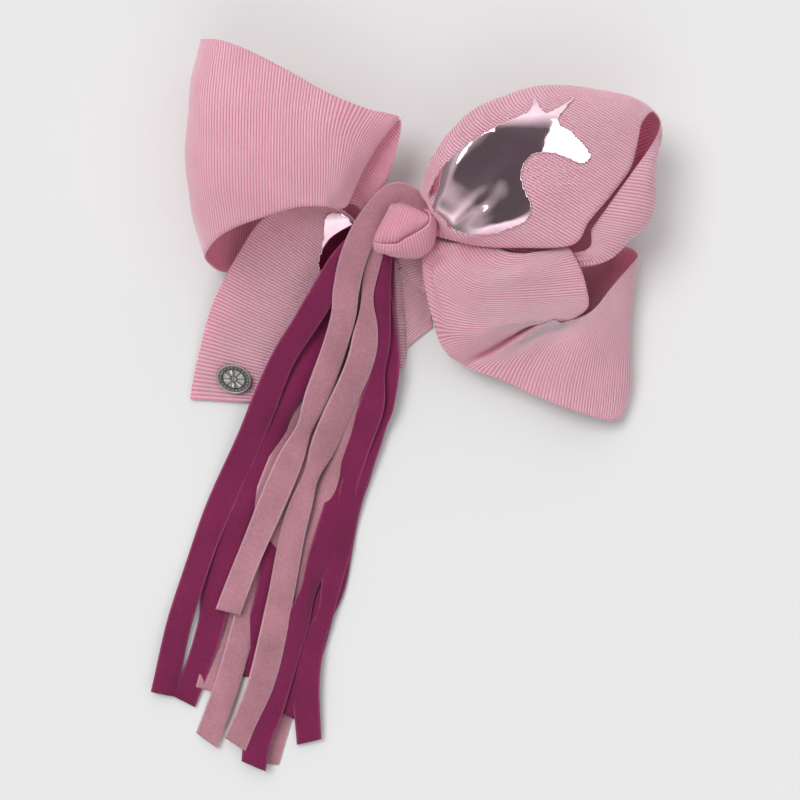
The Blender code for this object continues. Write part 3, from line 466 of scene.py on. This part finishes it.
def foil_material(name):
    """Mirror foil, tinted pink and very slightly crinkled."""
    mat, nodes, links, shader = new_material(name)
    coords = nodes.new("ShaderNodeTexCoord")
    crinkle = noise(nodes, links, coords.outputs["Object"], 260, 2)
    tint = mix_colours(nodes, links, crinkle, (0.80, 0.53, 0.62, 1), (0.90, 0.68, 0.76, 1))
    links.new(tint, shader.inputs["Base Color"])
    links.new(bump(nodes, links, crinkle, 0.0001, 0.15), shader.inputs["Normal"])
    set_sockets(shader, Metallic=1.0, Roughness=0.05)
    return mat


def steel_material(name):
    """Plated steel with a fine grain along the clip."""
    mat, nodes, links, shader = new_material(name)
    coords = nodes.new("ShaderNodeTexCoord")
    grain = noise(nodes, links, stretched(nodes, links, coords.outputs["Object"], (60, 900, 900)), 1.0, 3)
    tint = mix_colours(nodes, links, grain, (0.55, 0.55, 0.57, 1), (0.72, 0.72, 0.73, 1))
    links.new(tint, shader.inputs["Base Color"])
    rough = map_range(nodes, links, grain, (0.0, 1.0), (0.18, 0.34))
    links.new(rough, shader.inputs["Roughness"])
    links.new(bump(nodes, links, grain, 0.00005, 0.3), shader.inputs["Normal"])
    shader.inputs["Metallic"].default_value = 1.0
    return mat


def charm_material(name):
    """Antique silver: bright where the relief stands up, dark where it lies low."""
    mat, nodes, links, shader = new_material(name)
    coords = nodes.new("ShaderNodeTexCoord")
    split = nodes.new("ShaderNodeSeparateXYZ")
    links.new(coords.outputs["Object"], split.inputs[0])
    level = map_range(nodes, links, split.outputs["Z"], (0.0041, 0.0049))
    wear = noise(nodes, links, coords.outputs["Object"], 700, 3)
    worn = math_node(nodes, links, "MULTIPLY_ADD", wear, 0.5)
    links.new(level, worn.node.inputs[2])
    worn = math_node(nodes, links, "SUBTRACT", worn, 0.25)
    tint = mix_colours(nodes, links, worn, (0.06, 0.055, 0.06, 1), (0.78, 0.76, 0.74, 1))
    links.new(tint, shader.inputs["Base Color"])
    links.new(bump(nodes, links, wear, 0.0001, 0.3), shader.inputs["Normal"])
    set_sockets(shader, Metallic=1.0, Roughness=0.32)
    return mat


def plain_material(name, first, second, roughness, scale):
    """A mottled surface, for the thread and the glue."""
    mat, nodes, links, shader = new_material(name)
    coords = nodes.new("ShaderNodeTexCoord")
    mottle = noise(nodes, links, coords.outputs["Object"], scale, 3)
    links.new(mix_colours(nodes, links, mottle, first, second), shader.inputs["Base Color"])
    links.new(bump(nodes, links, mottle, 0.0001, 0.4), shader.inputs["Normal"])
    shader.inputs["Roughness"].default_value = roughness
    return mat


# ---------------------------------------------------------------- meshes
def mesh_object(name, mesh, mat):
    obj = bpy.data.objects.new(name, mesh)
    mesh.materials.append(mat)
    bpy.context.scene.collection.objects.link(obj)
    return obj


def bm_mesh(name, bm):
    bmesh.ops.recalc_face_normals(bm, faces=bm.faces)
    mesh = bpy.data.meshes.new(name)
    bm.to_mesh(mesh)
    bm.free()
    mesh.shade_smooth()
    return mesh


def catmull(points, t):
    """Points on the smooth curve through points (an array along its first axis), at each t."""
    i = np.clip(t.astype(int), 0, len(points) - 2)
    f = (t - i).reshape((-1,) + (1,) * (points.ndim - 1))
    ends = np.concatenate([[2 * points[0] - points[1]], points, [2 * points[-1] - points[-2]]])
    p0, p1, p2, p3 = (ends[i + k] for k in range(4))
    return 0.5 * (2 * p1 + (p2 - p0) * f + (2 * p0 - 5 * p1 + 4 * p2 - p3) * f ** 2
                  + (3 * p1 - p0 - 3 * p2 + p3) * f ** 3)


def grid_normals(grid):
    along = np.gradient(grid, axis=0)
    across = np.gradient(grid, axis=1)
    normal = np.cross(along, across)
    return normal / np.maximum(np.linalg.norm(normal, axis=2, keepdims=True), 1e-9)


def grid_quads(rows, cols):
    index = np.arange(rows * cols).reshape(rows, cols)
    return np.stack([index[:-1, :-1], index[1:, :-1], index[1:, 1:], index[:-1, 1:]], -1).reshape(-1, 4)


def grid_mesh(name, grid, uv):
    """A sheet of quads through a grid of points in mm, with the grid's own UVs."""
    rows, cols = grid.shape[:2]
    mesh = bpy.data.meshes.new(name)
    quads = grid_quads(rows, cols)
    mesh.vertices.add(rows * cols)
    mesh.vertices.foreach_set("co", (grid.reshape(-1) * MM).astype(np.float32))
    mesh.loops.add(quads.size)
    mesh.loops.foreach_set("vertex_index", quads.reshape(-1).astype(np.int32))
    mesh.polygons.add(len(quads))
    mesh.polygons.foreach_set("loop_start", np.arange(0, quads.size, 4, dtype=np.int32))
    mesh.polygons.foreach_set("loop_total", np.full(len(quads), 4, np.int32))
    mesh.update(calc_edges=True)
    layer = mesh.uv_layers.new(name="UVMap")
    layer.data.foreach_set("uv", uv.reshape(-1, 2)[quads.reshape(-1)].reshape(-1).astype(np.float32))
    mesh.shade_smooth()
    return mesh


def thicken(obj, thickness):
    solidify = obj.modifiers.new("cloth", "SOLIDIFY")
    solidify.thickness = thickness * MM
    solidify.offset = 0.0
    solidify.use_even_offset = False


def smooth_step(x):
    x = np.clip(x, 0, 1)
    return x * x * (3 - 2 * x)


def ribbon_grid(ribs, columns, pleats=(), gathers=(), wrinkle=0.25, seed=0.0, rib_depth=RIB_DEPTH):
    """Points and UVs of a grosgrain ribbon through its ribs, at an equal pitch of ribs along it.

    A pleat is (start, peak and end rib, place and width across from 0 to 1, height), and a
    gather is (pinched rib, rib where it is gone, number of folds, height).
    """
    ribs = np.array(ribs, float)
    spots = np.linspace(0, ribs.shape[1] - 1, columns)
    across = catmull(ribs.transpose(1, 0, 2), spots).transpose(1, 0, 2)
    fine_t = np.linspace(0, len(ribs) - 1, 60 * (len(ribs) - 1) + 1)
    fine = catmull(across, fine_t)
    steps = np.linalg.norm(np.diff(fine, axis=0), axis=2).mean(1)
    run = np.concatenate([[0], np.cumsum(steps)])
    count = int(round(run[-1] / RIB_PITCH)) * ROWS_PER_RIB
    s = np.linspace(0, run[-1], count + 1)
    t = np.interp(s, run, fine_t)
    grid = catmull(across, t)
    v = np.linspace(0, 1, columns)
    normal = grid_normals(grid)
    width = np.linalg.norm(np.diff(grid, axis=1), axis=2).sum(1)
    w = v[None, :] * width[:, None]
    along = s[:, None]
    relief = wrinkle * (np.sin(along / 5.3 + w / 9.1 + seed) * np.sin(w / 7.7 - along / 14 + 2 * seed)
                        + 0.6 * np.sin(w / 4.9 + along / 21 + 3 * seed))
    for t_start, t_peak, t_end, v_centre, v_width, depth in pleats:
        rise = smooth_step((t - t_start) / max(t_peak - t_start, 1e-6))
        fall = 1 - smooth_step((t - t_peak) / max(t_end - t_peak, 1e-6))
        bell = np.exp(-((v[None, :] - v_centre) / v_width) ** 2)
        relief = relief + depth * (rise * fall)[:, None] * bell
    for t_pinch, t_gone, count, depth in gathers:
        fade = 1 - smooth_step((t - t_pinch) / (t_gone - t_pinch))
        folds = np.sin(2 * np.pi * count * v + 1.3 * np.sin(5 * v))
        folds = folds * smooth_step(np.minimum(v, 1 - v) / 0.12)
        relief = relief + depth * fade[:, None] * folds[None, :]
    edge = smooth_step(np.minimum(v, 1 - v) / 0.03)
    ribs_up = rib_depth * np.cos(2 * np.pi * s / RIB_PITCH)[:, None] * (0.35 + 0.65 * edge)[None, :]
    grid = grid + normal * (relief + ribs_up)[..., None]
    grid[..., 2] = np.maximum(grid[..., 2], 0.3)
    uv = np.stack([np.repeat((s / RIB_PITCH)[:, None], columns, 1), w], -1)
    return grid, uv


def ribbon(name, node, ribs, columns, mat, held, flat, **looks):
    grid, uv = ribbon_grid(ribs, columns, **looks)
    obj = mesh_object(name, grid_mesh(name, grid, uv), mat)
    thicken(obj, RIBBON_CLOTH)
    finish_piece(obj, "bow", "grosgrain_ribbon", node)


def finish_piece(obj, body, slot, *nodes):
    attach(obj, body)
    if nodes:
        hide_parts(*nodes)


# ---------------------------------------------------------------- streamers
def lookup(table, x):
    xs, values = np.array(table, float).T
    return np.interp(x, xs, values)


def streamer_height(y, far_layer, knot_layer):
    start, end = STREAMER_FAN_Y
    blend = smooth_step((y - end) / (start - end))
    return lookup(STREAMER_BED, y) + STREAMER_PITCH * (far_layer * (1 - blend) + knot_layer * blend)


def streamer(name, route, index, mat):
    """A jersey strip along its route in plan, curled, tilted and narrowed where it twists.

    The route is its layer at the far end, its layer at the knot and its centre line.
    """
    far_layer, knot_layer, line = route
    centres = np.array(line, float)
    lead = centres[0] - centres[1]
    centres = np.concatenate([[centres[0] + 4.0 * lead / np.linalg.norm(lead)], centres])
    fine_t = np.linspace(0, len(centres) - 1, 40 * (len(centres) - 1) + 1)
    fine = catmull(centres, fine_t)
    run = np.concatenate([[0], np.cumsum(np.linalg.norm(np.diff(fine, axis=0), axis=1))])
    s = np.linspace(0, run[-1], int(run[-1] / 1.1) + 1)
    path = catmull(centres, np.interp(s, run, fine_t))
    tangent = np.gradient(path, axis=0)
    tangent /= np.linalg.norm(tangent, axis=1, keepdims=True)
    side = np.stack([-tangent[:, 1], tangent[:, 0]], 1)
    c = np.linspace(-1, 1, 11)
    phase = 1.7 * index
    wander = 0.05 * np.sin(s / 17 + phase) + 0.02 * np.sin(s / 7.1 + 2 * phase)
    half = 0.5 * STREAMER_WIDTH * (1 + wander)
    half = half * (0.62 + 0.38 * smooth_step((s - 6) / 34))
    for where in TWISTS.get(name, ()):
        half = half * (1 - 0.38 * np.exp(-((s - where) / 9) ** 2))
    slant = 1.3 * math.sin(3 * phase) * smooth_step((s - run[-1] + 8) / 8)
    plan = path[:, None, :] + side[:, None, :] * (half[:, None] * c[None, :])[..., None] \
        + tangent[:, None, :] * (slant[:, None] * c[None, :])[..., None]
    base = streamer_height(plan[..., 1], far_layer, knot_layer)
    curl = 0.55 + 0.55 * np.sin(s / 31 + phase)
    tilt = 1.1 * np.sin(s / 19 + 2.3 * phase) * smooth_step((s - 20) / 30)
    lift = 0.5 * np.sin(s / 13 + 1.9 * phase) * smooth_step((s - 40) / 40)
    crown = curl[:, None] * (1 - c[None, :] ** 2) - 0.25
    z = base + crown + tilt[:, None] * c[None, :] + lift[:, None]
    grid = np.concatenate([plan, np.maximum(z, 0.4)[..., None]], -1)
    uv = np.stack([np.repeat(s[:, None], len(c), 1), np.repeat((c[None, :] + 1) / 2, len(s), 0)], -1)
    obj = mesh_object(f"{name}_strip", grid_mesh(name, grid, uv), mat)
    thicken(obj, STREAMER_CLOTH)
    finish_piece(obj, "bow", name.rsplit("_", 1)[0], name)


# ---------------------------------------------------------------- foil prints
def surface_tree(grid):
    """A ray-casting tree of a ribbon's own surface, in mm."""
    rows, cols = grid.shape[:2]
    quads = grid_quads(rows, cols)
    return BVHTree.FromPolygons([Vector(p) for p in grid.reshape(-1, 3)], quads.tolist())


def foil(name, node, outline, tree, mat, lift=0.75, cell=1.0):
    """A foil print: a plan outline laid on the ribbon from above."""
    ring = dense_ring(np.array(outline, float), FOIL_STEP)
    points = [Vector(p) for p in ring]
    edges = [(i, (i + 1) % len(ring)) for i in range(len(ring))]
    low, high = np.min(points, axis=0), np.max(points, axis=0)
    for x in np.arange(low[0], high[0], cell):
        for y in np.arange(low[1], high[1], cell):
            points.append(Vector((x + 0.13 * math.sin(7 * y), y + 0.13 * math.sin(5 * x))))
    verts, _, faces, *_ = delaunay_2d_cdt(points, edges, [], 0, 1e-4)
    keep, used = [], {}
    for face in faces:
        centre = sum((verts[i] for i in face), Vector((0, 0))) / len(face)
        if point_in_ring(centre, ring):
            keep.append(face)
    bm = bmesh.new()
    for face in keep:
        for i in face:
            if i not in used:
                hit = tree.ray_cast(Vector((*verts[i], 100)), Vector((0, 0, -1)))[0]
                if hit is not None:
                    used[i] = bm.verts.new((hit + Vector((0, 0, 1)) * lift) * MM)
    for face in keep:
        if all(i in used for i in face):
            bm.faces.new([used[i] for i in face])
    obj = mesh_object(name, bm_mesh(name, bm), mat)
    smooth = obj.modifiers.new("settle", "SMOOTH")
    smooth.iterations = 8
    smooth.factor = 0.5
    thicken(obj, FOIL_THICKNESS)
    finish_piece(obj, "bow", "foil_print", node)


def dense_ring(ring, step):
    """The closed outline, rounded and cut into short steps."""
    n = len(ring)
    loop = np.concatenate([ring[-2:], ring, ring[:3]])
    t = np.linspace(2, n + 2, n * 12, endpoint=False)
    fine = catmull(loop, t)
    length = np.linalg.norm(np.diff(fine, axis=0), axis=1).sum()
    pick = np.linspace(0, len(fine), max(int(length / step), n), endpoint=False).astype(int)
    return fine[pick]


def point_in_ring(point, ring):
    x, y = point
    inside = False
    for (x0, y0), (x1, y1) in zip(ring, np.roll(ring, -1, axis=0)):
        if (y0 > y) != (y1 > y) and x < (x1 - x0) * (y - y0) / (y1 - y0) + x0:
            inside = not inside
    return inside


# ---------------------------------------------------------------- centre, charm and clip
def tube(name, points, radius, mat, sides=12):
    """A round wire swept through points in mm, closed at both ends."""
    points = np.array(points, float)
    tangent = np.gradient(points, axis=0)
    tangent /= np.linalg.norm(tangent, axis=1, keepdims=True)
    normal = np.cross(tangent[0], (0.3, 0.5, 0.8))
    bm = bmesh.new()
    rings = []
    for p, t in zip(points, tangent):
        normal = normal - t * normal.dot(t)
        normal /= np.linalg.norm(normal)
        binormal = np.cross(t, normal)
        rings.append([bm.verts.new((p + radius * (math.cos(a) * normal + math.sin(a) * binormal)) * MM)
                      for a in np.linspace(0, 2 * math.pi, sides, endpoint=False)])
    for ring, after in zip(rings, rings[1:]):
        for i in range(sides):
            j = (i + 1) % sides
            bm.faces.new((ring[i], ring[j], after[j], after[i]))
    bm.faces.new(rings[0][::-1])
    bm.faces.new(rings[-1])
    return mesh_object(name, bm_mesh(name, bm), mat)


def make_spring(mat):
    """A torsion spring round the pin, with a leg along each arm."""
    steps = 64 * SPRING_TURNS + 32
    points = [(PIN_X + reach, -SPRING_HALF, z) for reach, z in ((11, 1.5), (8, 1.6), (5, 1.75), (2.5, 2.1))]
    for i in range(steps + 1):
        angle = math.radians(-90) - 2 * math.pi * i / 64
        points.append((PIN_X + SPRING_RADIUS * math.cos(angle), -SPRING_HALF + 2 * SPRING_HALF * i / steps,
                       PIN_Z + SPRING_RADIUS * math.sin(angle)))
    points += [(PIN_X + reach, SPRING_HALF, z) for reach, z in ((2.5, 6.8), (5, 7.2), (8, 7.9), (11, 8.6))]
    obj = tube("clip_spring_wire", points, SPRING_WIRE / 2, mat)
    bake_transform(obj)
    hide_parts("clip_spring")


def make_thread(mat):
    """Two plies twisted round each other, wound four times round the gathers."""
    count = 480
    angle = np.linspace(0, 8 * math.pi, count + 1)
    line = np.stack([np.linspace(-3.2, 3.2, count + 1), 6.5 * np.cos(angle),
                     CORE_Z + 5.6 * np.sin(angle)], 1)
    out = np.stack([np.zeros_like(angle), np.cos(angle), np.sin(angle)], 1)
    twist = angle * 9
    for i, turn in enumerate((0, math.pi)):
        swing = 0.17 * (out * np.cos(twist + turn)[:, None]
                        + np.array([1, 0, 0]) * np.sin(twist + turn)[:, None])
        obj = tube(f"gathering_thread_ply_{i + 1}", line + swing, 0.18, mat, 6)
        finish_piece(obj, "bow", "sewing_thread", *(["gathering_thread"] if i == 0 else []))


def gathered_bundle(name, node, centre, half, pleats, depth, mat):
    """A pinched bundle of ribbon: pleats run along X and pucker toward its ends."""
    rows, cols = 97, 144
    u = np.linspace(0.02, np.pi - 0.02, rows)[:, None]
    a = np.linspace(0, 2 * np.pi, cols + 1)[None, :]
    swell = 1 + depth * np.cos(pleats * a + 1.2 * np.cos(u)) + 0.4 * depth * np.cos(2.3 * pleats * a + 2)
    swell[:, -1] = swell[:, 0]
    x = half[0] * np.cos(u) * np.ones_like(a)
    y = half[1] * np.sin(u) ** 0.8 * np.sin(a) * swell
    z = half[2] * np.sin(u) ** 0.8 * np.cos(a) * swell
    grid = np.stack([x + centre[0], y + centre[1], z + centre[2]], -1)
    uv = np.stack([grid[..., 0] / RIB_PITCH, a * half[1] * np.ones_like(u)], -1)
    obj = mesh_object(name, grid_mesh(name, grid, uv), mat)
    weld(obj)
    finish_piece(obj, "bow", "grosgrain_ribbon", node)


def weld(obj):
    """Joins the seam of a grid that meets itself and closes its two ends."""
    bm = bmesh.new()
    bm.from_mesh(obj.data)
    bmesh.ops.remove_doubles(bm, verts=bm.verts, dist=1e-6)
    bmesh.ops.holes_fill(bm, edges=[e for e in bm.edges if e.is_boundary], sides=0)
    bmesh.ops.recalc_face_normals(bm, faces=bm.faces)
    bm.to_mesh(obj.data)
    bm.free()
    obj.data.shade_smooth()


def make_band(mat):
    """The ribbon band round the core and the clip's upper arm."""
    ribs = []
    centre_z, half_z = (BAND_LOW_Z + BAND_HIGH_Z) / 2, (BAND_HIGH_Z - BAND_LOW_Z) / 2
    for i in range(33):
        angle = 2 * math.pi * i / 32
        c, s = math.cos(angle), math.sin(angle)
        y = BAND_HALF_Y * math.copysign(abs(c) ** 0.6, c)
        z = centre_z + half_z * math.copysign(abs(s) ** 0.6, s)
        ribs.append([(x, y, z) for x in (-5.4, -2, 2, 5.4)])
    grid, uv = ribbon_grid(ribs, 18, wrinkle=0.0, rib_depth=0.12)
    grid[-1] = grid[0]
    obj = mesh_object("center_band_ribbon", grid_mesh("center_band_ribbon", grid, uv), mat)
    thicken(obj, RIBBON_CLOTH)
    finish_piece(obj, "bow", "grosgrain_ribbon", "center_wrap_band")


def boxy(wave):
    """Squares off a sine or cosine, so that a round section turns into a rounded box."""
    return np.sign(wave) * np.abs(wave) ** 0.45


def make_glue(mat):
    """A squeezed bead of hot glue between the clip's arm and the band."""
    rows, cols = 40, 48
    u = np.linspace(0.03, np.pi - 0.03, rows)[:, None]
    a = np.linspace(0, 2 * np.pi, cols + 1)[None, :]
    low, high = (np.array(corner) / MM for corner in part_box("glue_pad"))
    centre, half = (low + high) / 2, (high - low) / 2
    lump = 1 + 0.05 * np.sin(5 * a + 3 * u)
    lump[:, -1] = lump[:, 0]
    x = half[0] * boxy(np.cos(u)) * np.ones_like(a)
    y = half[1] * np.sin(u) ** 0.4 * boxy(np.sin(a)) * lump * 0.95
    z = half[2] * np.sin(u) ** 0.4 * boxy(np.cos(a)) * 0.98
    grid = np.stack([x + centre[0], y + centre[1], z + centre[2]], -1)
    uv = np.stack([x, a * np.ones_like(u)], -1)
    obj = mesh_object("hot_glue_bead", grid_mesh("hot_glue_bead", grid, uv), mat)
    weld(obj)
    finish_piece(obj, "bow", "hot_glue", "glue_pad")


def make_charm(mat):
    """An oval medallion: a raised rim, a ring of beads and an eight-petalled rosette."""
    rows, cols = 61, 192
    r = np.linspace(0.0, 1.0, rows)[:, None]
    a = np.linspace(0, 2 * np.pi, cols, endpoint=False)[None, :]
    low, high = CHARM_Z
    rim = np.exp(-((r - 0.92) / 0.06) ** 2)
    beads = np.exp(-((r - 0.76) / 0.05) ** 2) * (0.55 + 0.45 * np.cos(22 * a))
    petals = smooth_step((0.66 - r) / 0.08) * smooth_step((r - 0.14) / 0.1) * np.abs(np.cos(4 * a)) ** 0.6
    veins = 0.35 * smooth_step((0.6 - r) / 0.2) * np.cos(16 * a) * (r > 0.2)
    heart = smooth_step((0.17 - r) / 0.05)
    relief = np.clip(rim + 0.7 * beads + 0.65 * petals + 0.15 * veins + 0.8 * heart, 0, 1)
    height = (high - 0.75 + 0.75 * relief) * np.ones_like(a)
    x = CHARM_HALF[0] * r * np.cos(a)
    y = CHARM_HALF[1] * r * np.sin(a)
    bm = bmesh.new()
    centre = bm.verts.new((0, 0, height[0, 0]))
    rings = [[bm.verts.new((x[i, j], y[i, j], height[i, j])) for j in range(cols)] for i in range(1, rows)]
    for level, scale in ((high - 0.9, 1.0), (low + 0.3, 1.0), (low, 0.97)):
        rings.append([bm.verts.new((x[-1, j] * scale, y[-1, j] * scale, level)) for j in range(cols)])
    for j in range(cols):
        bm.faces.new((centre, rings[0][j], rings[0][(j + 1) % cols]))
        for ring, after in zip(rings, rings[1:]):
            k = (j + 1) % cols
            bm.faces.new((ring[j], after[j], after[k], ring[k]))
    bm.faces.new(rings[-1])
    place = Matrix.Translation((CHARM_CENTRE[0] * MM, CHARM_CENTRE[1] * MM, 0)) \
        @ Matrix.Rotation(math.radians(CHARM_TILT_DEG), 4, "Z") @ Matrix.Scale(MM, 4)
    bmesh.ops.transform(bm, matrix=place, verts=bm.verts)
    finish_piece(mesh_object("charm_relief", bm_mesh("charm_relief", bm), mat), "bow", "charm_metal",
                 "charm_medallion")


def keep_node(node, mat):
    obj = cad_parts[node]
    for slot in obj.material_slots:
        slot.material = mat


# ---------------------------------------------------------------- the object
def make_ribbons(mat):
    ribbon("ribbon_upper_left", "loop_upper_left", UPPER_LEFT_LOOP, 40, mat, "folded",
           (RIBBON_WIDTH, 0.217))
    ribbon("ribbon_left_gather", "gather_fold_left", LEFT_GATHER_FOLD, 16, mat, "gathered", (0.014, 0.039))
    ribbon("ribbon_upper_right", "loop_upper_right", UPPER_RIGHT_LOOP, 48, mat, "folded",
           (RIBBON_WIDTH, 0.257), pleats=UPPER_RIGHT_PLEATS, gathers=[(16, 14.5, 7, 1.6)])
    ribbon("ribbon_lower_right", "loop_lower_right", LOWER_RIGHT_LOOP, 48, mat, "folded", (0.056, 0.230),
           pleats=[(2.2, 3.6, 6.6, 0.13, 0.038, -3.0), (2.4, 4.4, 8.0, 0.23, 0.045, 1.9),
                   (-1, 2.0, 5.0, 0.62, 0.10, 0.8)])
    ribbon("ribbon_tail_left", "tail_left", LEFT_TAIL, 56, mat, "laid", (0.066, 0.099))
    ribbon("ribbon_tail_center", "tail_center", CENTRE_TAIL, 24, mat, "gathered", (0.018, 0.038))
    ribbon("ribbon_tail_center_flap", "tail_center", CENTRE_FLAP, 14, mat, "folded",
           (0.010, 0.019), wrinkle=0.1)
    ribbon("ribbon_tail_center_roll", "tail_center", CENTRE_ROLL, 12, mat, "folded",
           (0.010, 0.045), wrinkle=0.1)


def make_knot(mat):
    ribbon("knot_dome", "center_knot", KNOT_DOME, 30, mat, "folded", (0.026, 0.024), wrinkle=0.35, seed=2.0)
    ribbon("knot_flap", "center_knot", KNOT_FLAP, 20, mat, "folded", (0.016, 0.042), wrinkle=0.25, seed=4.0)


def main():
    make_camera()
    make_light()
    make_sky()
    make_floor()
    # The second colour is the painted shade in the grooves between the ribs.
    grosgrain = grosgrain_material("grosgrain", (0.78, 0.485, 0.555, 1), (0.68, 0.23, 0.32, 1))
    make_ribbons(grosgrain)
    make_knot(grosgrain)
    gathered_bundle("gathered_core", "gather_core", (0, 0, CORE_Z), (8.3, 5.2, 4.4), 9, 0.06, grosgrain)
    make_band(grosgrain)

    # The second colour of each knit is its painted edge highlight.
    knits = {"pink": knit_material("knit_pink", (0.43, 0.20, 0.24, 1), (0.62, 0.38, 0.43, 1)),
             "magenta": knit_material("knit_magenta", (0.185, 0.015, 0.070, 1), (0.33, 0.06, 0.16, 1))}
    for index, (name, route) in enumerate(STREAMERS.items()):
        streamer(name, route, index, knits[name.split("_")[1]])

    mirror = foil_material("mirror_foil")
    under_loop = ribbon_grid(UPPER_RIGHT_LOOP, 48, pleats=UPPER_RIGHT_PLEATS, wrinkle=0.0, rib_depth=0.0)[0]
    under_tail = ribbon_grid(LEFT_TAIL, 56, wrinkle=0.0, rib_depth=0.0)[0]
    foil("foil_loop", "foil_print_loop", FOIL_LOOP, surface_tree(under_loop), mirror)
    foil("foil_tail", "foil_print_tail", FOIL_TAIL, surface_tree(under_tail), mirror)

    charm = charm_material("antique_silver")
    make_charm(charm)
    steel = steel_material("clip_steel")
    for node in ("clip_upper_arm", "clip_lower_arm", "clip_hinge_pin"):
        keep_node(node, steel)
    for node in ("charm_post", "charm_washer"):
        keep_node(node, charm)
    make_spring(steel)
    make_thread(plain_material("thread", (0.62, 0.36, 0.43, 1), (0.74, 0.48, 0.55, 1), 0.7, 1500))
    make_glue(plain_material("glue", (0.70, 0.68, 0.60, 1), (0.82, 0.80, 0.74, 1), 0.35, 200))


main()
